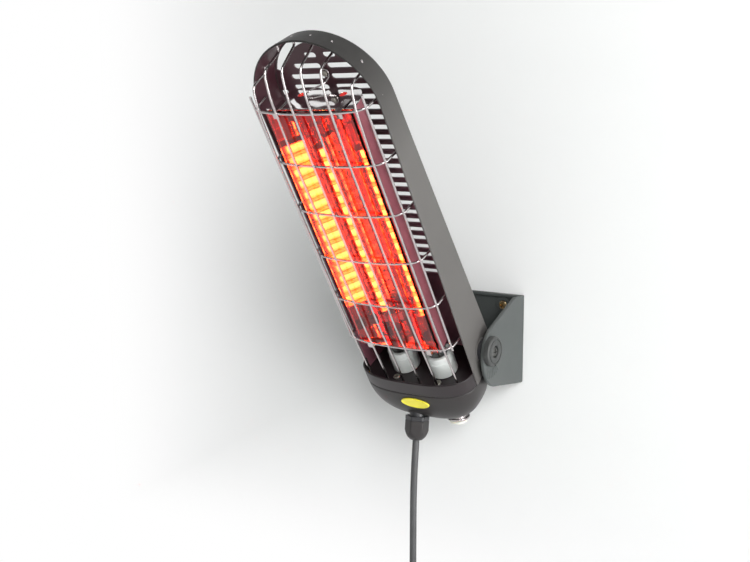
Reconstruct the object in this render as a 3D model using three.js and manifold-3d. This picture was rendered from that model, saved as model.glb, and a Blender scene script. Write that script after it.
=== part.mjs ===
// Wall-mounted twin-lamp infrared heater: a tilting racetrack head with a red filter glass
// and a wire guard, held between the cheeks of a wall bracket, with its supply cord.
//
// Wall frame: X across, -Y out of the wall, +Z up, origin at the middle of the bracket's back.
// Head frame: x across, u along the body towards the rounded top, w out of its open front.
// The head turns about X at the pivot, and it is built here at the photographed tilt.
import * as THREE from "three";
import { mergeVertices } from "three/addons/utils/BufferGeometryUtils.js";
import Module from "manifold-3d";

const wasm = await Module();
wasm.setup();

// ---- Driving dimensions, in millimetres and degrees ----

const GAP = 0.3; // clearance between touching pieces
const TILT = 32.6; // lean of the head's top out from the wall

const RIM = { half: 64, w: 25.3, arcU: 289 }; // open front edge of the body
const REAR = { half: RIM.half - 3.5, w: -24.5, slope: 0.07, chamfer: 2.5 }; // its closed back
const WALL = 1.8; // body sheet
const SEAM_U = -23; // where the body ends and the bottom bowl begins

const SLOT = {
  pitch: 10.6, // louvres, from one to the next
  height: 5.2,
  inner: 3.6,
  outer: 40.5,
  top: RIM.arcU + REAR.half - 24,
  low: 81.7,
};
const RING_SLOT = { inner: REAR.half - 10.5, outer: REAR.half - 3, straight: 27 };

const CHEEK = { outer: RIM.half + 8, thick: 4 }; // the bracket's arms stand beside the body
const PLATE = { height: 90, thick: 4, rib: 3, screwX: CHEEK.outer - 21.5, screwZ: 34 };
const WALL_SCREW = { headR: 4.2, shankR: 2.1, holeR: 2.5, bossR: 7.5, bossRise: 1.6 };
const PIVOT = {
  reach: 71.6,
  height: 0,
  holeR: 6.3,
  screwR: 2.5,
  washerR: 12,
  bossR: 12.5,
  bossFrom: RIM.half - 5.5,
};
const BOSS_FACE = RIM.half - 0.2; // outer face of the boss that each pivot screw draws up to
const CAP = { r: 14.8, rise: 5.6, grooveOut: 12.2, grooveIn: 10.8, grooveDeep: 0.9, recessR: 6, recess: 3 };

const TROUGH = { half: 43.5, front: 36.6, back: 3, ridge: 11, sheet: 1, low: 29, high: RIM.arcU + 6 };
const LAMP = { x: 21.7, w: 14, tubeR: 9, glass: 1.1, top: TROUGH.high - 7, baseR: 14, baseHeight: 24.5 };
const FILAMENT = { r: 1.9, discR: 6.6, disc: 0.7, low: 22, high: LAMP.top - 8.4, coils: 16 };
const GLASS = { half: TROUGH.half - 0.5, low: TROUGH.low + 0.6, high: TROUGH.high, thick: 3.6 };
const CLIP = { x: TROUGH.half - 10.5, width: 6, thick: 0.8, foot: 24, over: 7 }; // bent over the glass
const STAY = { places: [TROUGH.low + 23.3, TROUGH.high - 51.9], width: 14, holeR: 2.3 }; // straps behind
const HANGER_U = RIM.arcU + REAR.half - 40.5; // where the top hanger is screwed to the back

const TRAY = { floorTop: -20.4, top: -7.5, wall: 2.2 };
const TRAY_SCREW = { x: 24, w: 33 }; // screws that hold the tray on the bowl
const BOWL = { half: RIM.half - 1, w: 17, depth: 34, drop: 51, plan: 3, profile: 2.4, wall: 2.2 };
const BADGE = { x: 2.5, u: -34.2, halfX: 16, halfU: 6.4, thick: 1.2 };
const BLOCK = { halfX: 15, low: -42, high: -25, w0: 2, w1: 16, pole: 10 }; // the terminal block

const WIRE_R = 1.1;
const GUARD_X = [9.5, 28.5, 50.5]; // half-spacings of the six front wires
const GUARD_W = [45.6, 45, 41.6]; // how far out each pair runs
const GUARD_TOP_U = [46, 44.5, 28.5].map((rise) => RIM.arcU + rise); // where each pair bends back
const SHOULDER = { x: RIM.half - 6.5, w: 35 }; // where the rungs turn from the sides to the front
const RUNG = { first: 35, last: RIM.arcU + 7, count: 6 };
const ARCH_HOLE_W = 13; // depth at which the guard's wires enter the arch
const SIDE_HOLE_W = 17; // and at which its rungs enter the sides

const GLAND = { across: 21.5, flange: 4, nut: 13, dome: 7, thread: 8, inside: 13, pad: 6.6, lock: 22 };
const SWITCH = { x: 25, bezelR: 12, bootR: 9.3, caseR: 9.6, stemR: 6.6, ledge: 1.2, travel: 2.5 };
const CORD = { r: 3.5, end: -238 }; // the free cord ends at this height, where the hank begins
const CORD_INSIDE = 17; // how far the cord reaches past the gland's seat into the bowl
const HANK = { loops: 4, run: 105, fold: 21, drawIn: 17, pitch: 7.7, lead: 24, tailFold: 22 };
const TIE = { height: 10, thick: 1.6, slack: 1.1 };
const PLUG = {
  r: 18,
  length: 38,
  neckR: 6,
  neck: 12,
  pinR: 2.4,
  pinLength: 19,
  pinSpacing: 19,
  pinDepth: 9, // of the pin inside the body
};

// ---- Small geometry kit ----

const TURN = Math.PI * 2;
const radians = THREE.MathUtils.degToRad;

// A point of the head frame, as the head group's own X, Y, Z.
const at = (x, u, w) => new THREE.Vector3(x, -w, u);

// Turns a closed three.js geometry into a solid for joining and cutting.
function solid(geometry) {
  const bare = new THREE.BufferGeometry();
  bare.setAttribute("position", geometry.getAttribute("position"));
  if (geometry.index) bare.setIndex(geometry.index);
  const merged = mergeVertices(bare, 1e-4);
  return new wasm.Manifold(
    new wasm.Mesh({
      numProp: 3,
      vertProperties: merged.attributes.position.array,
      triVerts: new Uint32Array(merged.index.array),
    })
  );
}

const joined = (solids) => solids.reduce((all, one) => all.add(one));
const cut = (body, tools) => body.subtract(joined(tools));

function material(color, roughness, metalness) {
  return new THREE.MeshStandardMaterial({ color, roughness, metalness });
}

const FLAT = 0.1; // cuts leave no detail finer than this on a surface

// A named mesh of a solid.
function piece(name, body, look) {
  const { vertProperties, triVerts, numProp } = body.simplify(FLAT).getMesh();
  const geometry = new THREE.BufferGeometry();
  const data = new THREE.BufferAttribute(new Float32Array(vertProperties), numProp);
  geometry.setAttribute("position", data);
  geometry.setIndex(new THREE.BufferAttribute(new Uint32Array(triVerts), 1));
  const mesh = new THREE.Mesh(geometry.toNonIndexed(), look);
  mesh.geometry.computeVertexNormals();
  mesh.name = name;
  return mesh;
}

// A round drum whose axis starts at `from` and runs `height` along `axis`.
function drum(from, axis, height, r, sides = 24, topR = r) {
  const geometry = new THREE.CylinderGeometry(topR, r, height, sides);
  geometry.translate(0, height / 2, 0);
  return solid(placed(geometry, from, axis));
}

// A shape turned about an axis: profile pairs are [radius, distance along the axis].
function turned(from, axis, profile, sides = 24) {
  const points = profile.map(([r, y]) => new THREE.Vector2(r, y));
  return solid(placed(new THREE.LatheGeometry(points, sides), from, axis));
}

function placed(geometry, from, axis) {
  const up = new THREE.Vector3(0, 1, 0);
  const turn = new THREE.Quaternion().setFromUnitVectors(up, axis.clone().normalize());
  geometry.applyQuaternion(turn);
  geometry.translate(from.x, from.y, from.z);
  return geometry;
}

function box(centre, size) {
  const geometry = new THREE.BoxGeometry(size.x, size.y, size.z);
  geometry.translate(centre.x, centre.y, centre.z);
  return solid(geometry);
}

// A box given by its limits in the head frame.
function headBox(x0, x1, u0, u1, w0, w1) {
  const centre = at((x0 + x1) / 2, (u0 + u1) / 2, (w0 + w1) / 2);
  return box(centre, new THREE.Vector3(x1 - x0, w1 - w0, u1 - u0));
}

// An outline drawn in x and w, extruded along u.
function alongU(shape, u0, u1, curveSegments = 6) {
  const geometry = new THREE.ExtrudeGeometry(shape, {
    depth: u1 - u0,
    bevelEnabled: false,
    curveSegments,
  });
  geometry.scale(1, -1, 1);
  flipped(geometry);
  geometry.translate(0, 0, u0);
  return solid(geometry);
}

// An outline drawn in x and u, extruded out of the front from w0 to w1.
function alongW(shape, w0, w1, curveSegments = 6) {
  const geometry = new THREE.ExtrudeGeometry(shape, {
    depth: w1 - w0,
    bevelEnabled: false,
    curveSegments,
  });
  geometry.rotateX(Math.PI / 2);
  geometry.translate(0, -w0, 0);
  return solid(geometry);
}

// Turns the faces round after a mirroring scale.
function flipped(geometry) {
  const position = geometry.getAttribute("position");
  const corner = new THREE.Vector3();
  const other = new THREE.Vector3();
  for (let i = 0; i < position.count; i += 3) {
    corner.fromBufferAttribute(position, i + 1);
    other.fromBufferAttribute(position, i + 2);
    position.setXYZ(i + 1, other.x, other.y, other.z);
    position.setXYZ(i + 2, corner.x, corner.y, corner.z);
  }
}

// A closed skin over equal rings of points, with a fan over each end.
function loft(rings) {
  const count = rings[0].length;
  const points = rings.flat();
  const index = [];
  for (let r = 0; r + 1 < rings.length; r++) {
    for (let i = 0; i < count; i++) {
      const a = r * count + i;
      const b = r * count + ((i + 1) % count);
      index.push(a, b, b + count, a, b + count, a + count);
    }
  }
  const last = (rings.length - 1) * count;
  const middle = (ring) => ring.reduce((sum, p) => sum.add(p), new THREE.Vector3()).divideScalar(count);
  points.push(middle(rings[0]), middle(rings[rings.length - 1]));
  for (let i = 0; i < count; i++) {
    const j = (i + 1) % count;
    index.push(points.length - 2, j, i);
    index.push(points.length - 1, last + i, last + j);
  }
  const geometry = new THREE.BufferGeometry().setFromPoints(points);
  geometry.setIndex(index);
  const made = solid(geometry);
  if (made.volume() > 0) return made;
  for (let i = 0; i < index.length; i += 3) [index[i + 1], index[i + 2]] = [index[i + 2], index[i + 1]];
  geometry.setIndex(index);
  return solid(geometry);
}

// A path that passes exactly through its points at equal steps.
class PointPath extends THREE.Curve {
  constructor(points) {
    super();
    this.points = points;
  }

  getPoint(t, target = new THREE.Vector3()) {
    const place = THREE.MathUtils.clamp(t, 0, 1) * (this.points.length - 1);
    const i = Math.min(Math.floor(place), this.points.length - 2);
    return target.lerpVectors(this.points[i], this.points[i + 1], place - i);
  }

  getPointAt(t, target) {
    return this.getPoint(t, target);
  }

  getTangentAt(t, target) {
    return this.getTangent(t, target);
  }
}

// A round wire or tube through the points.
function wire(points, r, sides = 6) {
  const section = new THREE.Shape();
  for (let i = 0; i < sides; i++) {
    const a = (i * TURN) / sides;
    const x = r * Math.cos(a);
    const y = r * Math.sin(a);
    if (i === 0) section.moveTo(x, y);
    else section.lineTo(x, y);
  }
  section.closePath();
  const path = new PointPath(points);
  return solid(
    new THREE.ExtrudeGeometry(section, { steps: points.length - 1, extrudePath: path, bevelEnabled: false })
  );
}

// The corners of a bent wire, each rounded by as many chords as its turn needs.
function bent(corners, radius, chord = radians(40)) {
  const points = [corners[0]];
  for (let i = 1; i + 1 < corners.length; i++) {
    const into = corners[i].clone().sub(corners[i - 1]);
    const out = corners[i + 1].clone().sub(corners[i]);
    const steps = Math.ceil(into.angleTo(out) / chord - 0.3);
    if (steps < 1) {
      points.push(corners[i]);
      continue;
    }
    const reach = Math.min(radius, into.length() * 0.45, out.length() * 0.45);
    const start = corners[i].clone().addScaledVector(into.normalize(), -reach);
    const end = corners[i].clone().addScaledVector(out.normalize(), reach);
    const curve = new THREE.QuadraticBezierCurve3(start, corners[i], end);
    points.push(...curve.getPoints(steps));
  }
  points.push(corners[corners.length - 1]);
  return points;
}

function polygon(pairs) {
  const shape = new THREE.Shape();
  pairs.forEach(([x, y], i) => (i ? shape.lineTo(x, y) : shape.moveTo(x, y)));
  shape.closePath();
  return shape;
}

const AXIS = {
  x: new THREE.Vector3(1, 0, 0),
  u: new THREE.Vector3(0, 0, 1),
  w: new THREE.Vector3(0, -1, 0),
};

// ---- Looks ----

const charcoal = () => material(0x5b5c5c, 0.55, 0.25);
const plastic = () => material(0x4a4c4b, 0.6, 0);
const polished = () => material(0xb9b4b4, 0.12, 1);
const chrome = () => material(0xc9c5c4, 0.2, 1);
const steel = () => material(0xa9a59c, 0.35, 1);
const ceramic = () => material(0xe6eae8, 0.35, 0);
const blackPlastic = () => material(0x26272a, 0.5, 0);

// ---- Wall bracket ----

function cheekOutline() {
  const half = PLATE.height / 2;
  const shape = new THREE.Shape();
  shape.moveTo(0, -half);
  shape.lineTo(16, -half + 1.5);
  shape.lineTo(60, -37.4);
  shape.bezierCurveTo(74, -36, 85, -20, 84.6, -4);
  shape.bezierCurveTo(84.4, 6, 80, 14, 73, 20);
  shape.lineTo(20, half);
  shape.lineTo(0, half);
  return shape;
}

function cheek(side) {
  const geometry = new THREE.ExtrudeGeometry(cheekOutline(), {
    depth: CHEEK.thick,
    bevelEnabled: false,
    curveSegments: 6,
  });
  // The outline is drawn as distance from the wall and height.
  geometry.rotateX(Math.PI / 2);
  geometry.rotateZ(-Math.PI / 2);
  const plate = solid(geometry);
  const inner = side > 0 ? CHEEK.outer - CHEEK.thick : -CHEEK.outer;
  const bounds = plate.boundingBox();
  return plate.translate([inner - bounds.min[0], 0, 0]);
}

// Seven raised marks under the pivot, the scale that the cap's notch runs over.
function scaleMarks(side) {
  const marks = [];
  for (let i = -3; i <= 3; i++) {
    const angle = radians(-90 + 14 + i * 8);
    const mark = new THREE.BoxGeometry(1.2, 9, 1);
    mark.rotateX(angle);
    const middle = 23;
    mark.translate(
      side * CHEEK.outer,
      -PIVOT.reach + Math.cos(angle) * middle,
      PIVOT.height + Math.sin(angle) * middle
    );
    marks.push(solid(mark));
  }
  return marks;
}

function screwPlaces() {
  const places = [];
  for (const z of [PLATE.screwZ, -PLATE.screwZ]) {
    for (const x of [-PLATE.screwX, PLATE.screwX]) places.push([x, z]);
  }
  return places;
}


function wallBracket() {
  const outward = new THREE.Vector3(0, -1, 0);
  const width = CHEEK.outer * 2;
  const parts = [
    box(new THREE.Vector3(0, -PLATE.thick / 2, 0), new THREE.Vector3(width, PLATE.thick, PLATE.height)),
    cheek(1),
    cheek(-1),
    ...scaleMarks(1),
    ...scaleMarks(-1),
  ];
  const ribDepth = PLATE.thick + PLATE.rib;
  for (const end of [-1, 1]) {
    const z = end * (PLATE.height / 2 - 1.5);
    parts.push(box(new THREE.Vector3(0, -ribDepth / 2, z), new THREE.Vector3(width, ribDepth, 3)));
  }
  const holes = [];
  for (const [x, z] of screwPlaces()) {
    const from = new THREE.Vector3(x, 0, z);
    const bossHeight = PLATE.thick + WALL_SCREW.bossRise;
    parts.push(drum(from, outward, bossHeight, WALL_SCREW.bossR, 14));
    holes.push(drum(new THREE.Vector3(x, 1, z), outward, bossHeight + 2, WALL_SCREW.holeR, 12));
    const seat = new THREE.Vector3(x, -PLATE.thick, z);
    holes.push(drum(seat, outward, 3, WALL_SCREW.headR + 0.6, 14));
  }
  const axle = new THREE.Vector3(-CHEEK.outer - 5, -PIVOT.reach, PIVOT.height);
  holes.push(drum(axle, AXIS.x, width + 10, PIVOT.holeR, 20));
  return cut(joined(parts), holes);
}

function wallScrew(x, z) {
  const outward = new THREE.Vector3(0, -1, 0);
  const seat = new THREE.Vector3(x, -PLATE.thick - 0.1, z);
  const shank = drum(new THREE.Vector3(x, -0.1, z), outward, PLATE.thick + 1, WALL_SCREW.shankR, 10);
  const head = turned(
    seat,
    outward,
    [
      [0, 0],
      [WALL_SCREW.headR, 0],
      [WALL_SCREW.headR, 0.8],
      [3, 2],
      [0, 2.4],
    ],
    10
  );
  const place = new THREE.Vector3(x, -PLATE.thick - 2.4, z);
  const slots = [
    box(place, new THREE.Vector3(5, 2, 1)),
    box(place, new THREE.Vector3(1, 2, 5)),
  ];
  return cut(joined([shank, head]), slots);
}

// ---- Body shell ----

// Where the back of the body lies: it comes forward towards the rounded top.
const rearW = (u) => REAR.w + REAR.slope * u;

// A racetrack ring of half-width `half`, open end down at `low`, at the depth that `wAt` gives.
function racetrack(half, low, wAt, arcSteps = 24) {
  const ring = [at(half, low, wAt(low))];
  for (let i = 0; i <= arcSteps; i++) {
    const a = (i * Math.PI) / arcSteps;
    const u = RIM.arcU + half * Math.sin(a);
    ring.push(at(half * Math.cos(a), u, wAt(u)));
  }
  ring.push(at(-half, low, wAt(low)));
  return ring;
}

function roundedSlot(x0, x1, u, height) {
  const r = height / 2;
  const corners = [];
  for (const [x, start] of [[x1 - r, -90], [x0 + r, 90]]) {
    for (let i = 0; i <= 3; i++) {
      const a = radians(start + i * 60);
      corners.push([x + r * Math.cos(a), u + r * Math.sin(a)]);
    }
  }
  return polygon(corners);
}

// The two columns of louvre slots, shorter under the arch.
function louvres() {
  const tools = [];
  const rows = Math.round((SLOT.top - SLOT.low) / SLOT.pitch) + 1;
  for (let row = 0; row < rows; row++) {
    const u = SLOT.top - row * SLOT.pitch;
    const rise = Math.max(0, u + SLOT.height - RIM.arcU);
    const edge = RING_SLOT.inner - 5;
    const room = Math.sqrt(edge * edge - rise * rise) - 1;
    const reach = Math.min(SLOT.outer, room);
    for (const side of [-1, 1]) {
      const x0 = side > 0 ? SLOT.inner : -reach;
      const x1 = side > 0 ? reach : -SLOT.inner;
      tools.push(alongW(roundedSlot(x0, x1, u, SLOT.height), rearW(u) - 4, rearW(u) + 5));
    }
  }
  return tools;
}

// Long slots round the back's edge: two follow the arch, two run down beside the louvres.
function ringSlots() {
  const tools = [];
  const { inner, outer } = RING_SLOT;
  for (const side of [-1, 1]) {
    const arc = new THREE.Shape();
    const from = radians(side > 0 ? 24 : 100);
    const to = radians(side > 0 ? 80 : 156);
    arc.absarc(0, RIM.arcU, outer, from, to, false);
    arc.absarc(0, RIM.arcU, inner, to, from, true);
    tools.push(alongW(arc, rearW(RIM.arcU) - 6, rearW(RIM.arcU) + 8, 4));
    const x = (side * (inner + outer)) / 2;
    const half = (outer - inner) / 2;
    const low = RIM.arcU - RING_SLOT.straight;
    const high = RIM.arcU + 2;
    const straight = polygon([
      [x - half, low],
      [x + half, low],
      [x + half, high],
      [x - half, high],
    ]);
    tools.push(alongW(straight, rearW(low) - 5, rearW(low) + 8));
  }
  return tools;
}

function archWallU(x, half) {
  return RIM.arcU + Math.sqrt(half * half - x * x);
}


// Where the cross wires lie, evenly spread up the front.
function rungPlaces() {
  const places = [];
  for (let i = 0; i < RUNG.count; i++) {
    places.push(THREE.MathUtils.lerp(RUNG.first, RUNG.last, i / (RUNG.count - 1)));
  }
  return places;
}

function guardHoles() {
  const tools = [];
  const r = (WIRE_R + GAP) / Math.cos(Math.PI / 6); // six-sided holes clear the wire at their flats
  for (const x of GUARD_X) {
    for (const side of [-1, 1]) {
      const u = archWallU(x, RIM.half - 8);
      tools.push(drum(at(side * x, u - 4, ARCH_HOLE_W), AXIS.u, 24, r, 6));
    }
  }
  const outside = RIM.half + 16;
  for (const u of rungPlaces()) tools.push(drum(at(-outside, u, SIDE_HOLE_W), AXIS.x, 2 * outside, r, 6));
  return tools;
}

function bodyShell() {
  const outer = loft([
    racetrack(RIM.half, SEAM_U + GAP, () => RIM.w),
    racetrack(REAR.half + 0.2, SEAM_U + GAP, (u) => rearW(u) + REAR.chamfer),
    racetrack(REAR.half - REAR.chamfer, SEAM_U + GAP, rearW),
  ]);
  const below = SEAM_U - 5;
  const draft = (RIM.half - REAR.half) / (RIM.w - REAR.w);
  const hollow = loft([
    racetrack(RIM.half - WALL + draft, below, () => RIM.w + 1),
    racetrack(REAR.half - WALL + 0.2, below, (u) => rearW(u) + REAR.chamfer + 0.6),
    racetrack(REAR.half - REAR.chamfer - WALL / 2, below, (u) => rearW(u) + WALL),
  ]);
  const bosses = [];
  const bores = [];
  for (const side of [-1, 1]) {
    const out = new THREE.Vector3(side, 0, 0);
    bosses.push(drum(at(side * PIVOT.bossFrom, 0, 0), out, BOSS_FACE - PIVOT.bossFrom, PIVOT.bossR, 16));
    bores.push(drum(at(side * (PIVOT.bossFrom - 8), 0, 0), out, 20, PIVOT.screwR + GAP, 10));
  }
  const shell = cut(outer, [hollow]).add(joined(bosses));
  const stayHoles = STAY.places.map((u) => drum(at(0, u, rearW(u) - 5), AXIS.w, 14, STAY.holeR, 8));
  const hangerHole = drum(at(0, HANGER_U, rearW(HANGER_U) - 5), AXIS.w, 14, 1.8, 10);
  return cut(shell, [hangerHole, ...bores, ...louvres(), ...ringSlots(), ...guardHoles(), ...stayHoles]);
}

// ---- Reflector, filter glass and their fixings ----



// Half of the trough's section as points [x, w], from the middle ridge to the front lip.
function troughCurve() {
  const { half, front, back, ridge } = TROUGH;
  const inner = new THREE.CubicBezierCurve(
    new THREE.Vector2(0, ridge),
    new THREE.Vector2(5, back + 1),
    new THREE.Vector2(12, back),
    new THREE.Vector2(LAMP.x - 2, back)
  );
  const outer = new THREE.CubicBezierCurve(
    new THREE.Vector2(LAMP.x - 2, back),
    new THREE.Vector2(36, back),
    new THREE.Vector2(half - 1, 14),
    new THREE.Vector2(half, front)
  );
  return [...inner.getPoints(4), ...outer.getPoints(7).slice(1)];
}

// The whole trough as a sheet: its inner curve, then the same curve moved out by the thickness.
function troughShape(move0, move1) {
  const right = troughCurve();
  const whole = [...right.slice(1).reverse().map((p) => new THREE.Vector2(-p.x, p.y)), ...right];
  const shifted = (move) =>
    whole.map((p, i) => {
      const before = whole[Math.max(0, i - 1)];
      const after = whole[Math.min(whole.length - 1, i + 1)];
      const along = after.clone().sub(before).normalize();
      return [p.x + along.y * move, p.y - along.x * move];
    });
  return polygon([...shifted(move0), ...shifted(move1).reverse()]);
}

const reflectorTrough = () => alongU(troughShape(0, TROUGH.sheet), TROUGH.low, TROUGH.high);

// An end plate of the trough, as wide as its outside, with a hole for each lamp.
function endPlate(u0, holeR) {
  const right = troughCurve();
  const left = right.slice(1).reverse();
  const outline = [
    ...left.map((p) => [-p.x * 1.03, p.y - 1]),
    ...right.map((p) => [p.x * 1.03, p.y - 1]),
  ];
  outline.push([TROUGH.half * 1.03, TROUGH.front], [-TROUGH.half * 1.03, TROUGH.front]);
  const plate = alongU(polygon(outline), u0, u0 + 1);
  const holes = [-1, 1].map((side) => drum(at(side * LAMP.x, u0 - 3, LAMP.w), AXIS.u, 8, holeR, 16));
  return cut(plate, holes);
}

function reflectorStay(u) {
  const foot = rearW(u + STAY.width / 2) + WALL + 0.6;
  const top = TROUGH.back - TROUGH.sheet - GAP;
  const sheet = 1.2;
  const shape = polygon([
    [-10, foot],
    [10, foot],
    [14, top - sheet],
    [26, top - sheet],
    [26, top],
    [13, top],
    [9.2, foot + sheet],
    [-9.2, foot + sheet],
    [-13, top],
    [-26, top],
    [-26, top - sheet],
    [-14, top - sheet],
  ]);
  const strap = alongU(shape, u - STAY.width / 2, u + STAY.width / 2);
  return cut(strap, [drum(at(0, u, foot - 3), AXIS.w, 8, STAY.holeR, 10)]);
}

// A pan-headed screw: its head's seat is at `from`, and its shank runs on along `axis`.
function panScrew(from, axis, length, r, headR, headHeight = headR * 0.6) {
  const back = axis.clone().negate();
  const head = turned(
    from,
    back,
    [
      [0, 0],
      [headR, 0],
      [headR, headHeight * 0.5],
      [headR * 0.62, headHeight],
      [0, headHeight],
    ],
    12
  );
  const shank = drum(from.clone().addScaledVector(back, 0.2), axis, length + 0.2, r, 10);
  const along = new THREE.Vector3(1, 0, 0).cross(axis).lengthSq() < 0.5 ? AXIS.u : AXIS.x;
  const place = from.clone().addScaledVector(back, headHeight);
  return cut(joined([head, shank]), [screwSlot(place, axis, along, headR)]);
}

// A driver's slot, sunk into a screw head.
function screwSlot(place, axis, along, headR) {
  const across = new THREE.Vector3().crossVectors(axis, along);
  const geometry = new THREE.BoxGeometry(headR * 1.3, headR * 0.26, headR * 0.5);
  const turned = new THREE.Matrix4().makeBasis(along, across, axis.clone().normalize());
  geometry.applyMatrix4(turned.setPosition(place));
  return solid(geometry);
}

function filterGlass() {
  const w = TROUGH.front + GAP;
  return headBox(-GLASS.half, GLASS.half, GLASS.low, GLASS.high, w, w + GLASS.thick);
}

// A bent strip that reaches from the end plate over the edge of the glass.
function glassClip(x, end) {
  const outside = end > 0 ? TROUGH.high + 1.6 : TROUGH.low - 1.6;
  const face = TROUGH.front + 2 * GAP + GLASS.thick;
  const t = CLIP.thick;
  const inward = outside - end * CLIP.over;
  const profile = [
    [outside, CLIP.foot],
    [outside + end * t, CLIP.foot],
    [outside + end * t, face + t],
    [inward, face + t],
    [inward, face],
    [outside, face],
  ];
  const options = { depth: CLIP.width, bevelEnabled: false };
  const geometry = new THREE.ExtrudeGeometry(polygon(profile), options);
  // The profile is drawn in u and w, and its depth runs across.
  const turn = new THREE.Matrix4().makeBasis(
    new THREE.Vector3(0, 0, 1),
    new THREE.Vector3(0, -1, 0),
    new THREE.Vector3(1, 0, 0)
  );
  geometry.applyMatrix4(turn);
  geometry.translate(x - CLIP.width / 2, 0, 0);
  return solid(geometry);
}

// ---- Lamps ----

function lampTube(side) {
  const { tubeR, glass, top } = LAMP;
  const low = TRAY.floorTop + GAP + 10;
  const inner = tubeR - glass;
  const length = top - low;
  const profile = [[inner, 0], [tubeR, 0]];
  for (let i = 0; i <= 5; i++) {
    const a = (i * Math.PI) / 10;
    profile.push([tubeR * Math.cos(a), length - tubeR + tubeR * Math.sin(a)]);
  }
  for (let i = 5; i >= 0; i--) {
    const a = (i * Math.PI) / 10;
    profile.push([inner * Math.cos(a), length - tubeR + inner * Math.sin(a)]);
  }
  profile.push([inner, 0]);
  return turned(at(side * LAMP.x, low, LAMP.w), AXIS.u, profile, 12);
}

// The wound element: close coils on one stem, between the discs that centre it in the tube.
function filament(side) {
  const { r, discR, disc, low, high, coils } = FILAMENT;
  const pitch = (high - low) / coils;
  const profile = [[0, -28]];
  profile.push([0.8, -28], [0.8, -1], [r, 0]);
  for (let i = 0; i < coils; i++) {
    const y = i * pitch;
    profile.push([discR, y + disc / 2], [r, y + disc], [r, y + pitch]);
  }
  profile.push([0, coils * pitch]);
  return turned(at(side * LAMP.x, low, LAMP.w), AXIS.u, profile, 4);
}

function lampBase(side) {
  const { baseR, baseHeight, tubeR } = LAMP;
  const low = TRAY.floorTop + GAP;
  const boreR = tubeR + GAP;
  const boreLow = 10 - GAP;
  const profile = [
    [0, 0],
    [baseR - 0.8, 0],
    [baseR, 0.8],
    [baseR, baseHeight - 1],
    [baseR - 1, baseHeight],
    [boreR, baseHeight],
    [boreR, boreLow],
    [0, boreLow],
  ];
  const body = turned(at(side * LAMP.x, low, LAMP.w), AXIS.u, profile, 14);
  const holes = [-1, 1].map((end) =>
    drum(at(side * LAMP.x + end * 5, low - 1, LAMP.w), AXIS.u, 14, 1.4, 8)
  );
  const stem = drum(at(side * LAMP.x, low - 1, LAMP.w), AXIS.u, 14, 1.2, 8);
  return cut(body, [...holes, stem]);
}

// The sprung wire that hangs the reflector's top end from the louvred back.
function topHanger() {
  const eye = at(0, HANGER_U, rearW(HANGER_U) + WALL + 1.6);
  const corners = [
    at(-15, TROUGH.high + 2.4, 17),
    at(-12, HANGER_U - 9, 14),
    at(-1, HANGER_U - 7.5, 6),
    at(2.6, HANGER_U - 4, eye.y * -1 + 0.4),
  ];
  const ring = [];
  for (let i = 0; i <= 9; i++) {
    const a = radians(-40 + i * 34);
    ring.push(at(3.4 * Math.cos(a), HANGER_U + 3.4 * Math.sin(a), -eye.y));
  }
  return wire([...bent(corners, 3), ...ring], 0.7, 5);
}

function hangerScrew() {
  const w = rearW(HANGER_U) + WALL + 1.6 + 0.7 + 0.2;
  return panScrew(at(0, HANGER_U, w), at(0, 0, -1), w - rearW(HANGER_U) - 0.4, 1.5, 2.4);
}

// ---- Wire guard ----

function frontWire(side, i) {
  const x = side * GUARD_X[i];
  const w = GUARD_W[i];
  const wallU = archWallU(GUARD_X[i], RIM.half - 0.3);
  const corners = [
    at(x * 1.01, TRAY.floorTop - 1.8, w - 4),
    at(x * 1.01, -8, w - 4),
    at(x, 60, w - 0.4),
    at(x, RIM.arcU - 39, w + 1),
    at(x, GUARD_TOP_U[i] - 22, w - 0.8),
    at(x, GUARD_TOP_U[i], w - 5.6),
    at(x, wallU - 9, ARCH_HOLE_W),
    at(x, wallU, ARCH_HOLE_W),
  ];
  return wire(bent(corners, 6), WIRE_R, 5);
}

// A cross wire's bends: out of one side of the body, behind the front wires, into the other.
function rungPath(u) {
  const under = 1.5 * WIRE_R;
  const wallX = RIM.half - 0.6;
  const half = [
    at(wallX, u, SIDE_HOLE_W),
    at(wallX - 4, u, SIDE_HOLE_W),
    at(SHOULDER.x, u, SHOULDER.w),
    at(GUARD_X[2], u, GUARD_W[2] + 0.4 - under),
    at(GUARD_X[1], u, GUARD_W[1] + 0.6 - under),
    at(0, u, GUARD_W[0] + 1 - under),
  ];
  const mirrored = half.slice(0, -1).reverse().map((p) => new THREE.Vector3(-p.x, p.y, p.z));
  return bent([...half, ...mirrored], 7);
}

// The wire that runs down outside the rungs' shoulders, lying on them.
function sideWire(side) {
  const shoulder = new THREE.Vector3(SHOULDER.x, -SHOULDER.w, 0);
  const nearest = rungPath(0).reduce((a, b) => (a.distanceTo(shoulder) < b.distanceTo(shoulder) ? a : b));
  const lift = at(1, 0, 1).setLength(1.4 * WIRE_R);
  const place = nearest.clone().add(lift);
  const low = RUNG.first - 3;
  const high = RUNG.last + 12;
  const ends = [low, high].map((u) => new THREE.Vector3(side * place.x, place.y, u));
  return wire(ends, WIRE_R, 5);
}

function wireGuard() {
  const wires = [sideWire(-1), sideWire(1)];
  GUARD_X.forEach((x, i) => wires.push(frontWire(-1, i), frontWire(1, i)));
  for (const u of rungPlaces()) wires.push(wire(rungPath(u), WIRE_R, 5));
  return joined(wires);
}

// ---- Bottom: tray with its collar, and the bowl ----

const signedPower = (v, p) => Math.sign(v) * Math.pow(Math.abs(v), p);

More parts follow.
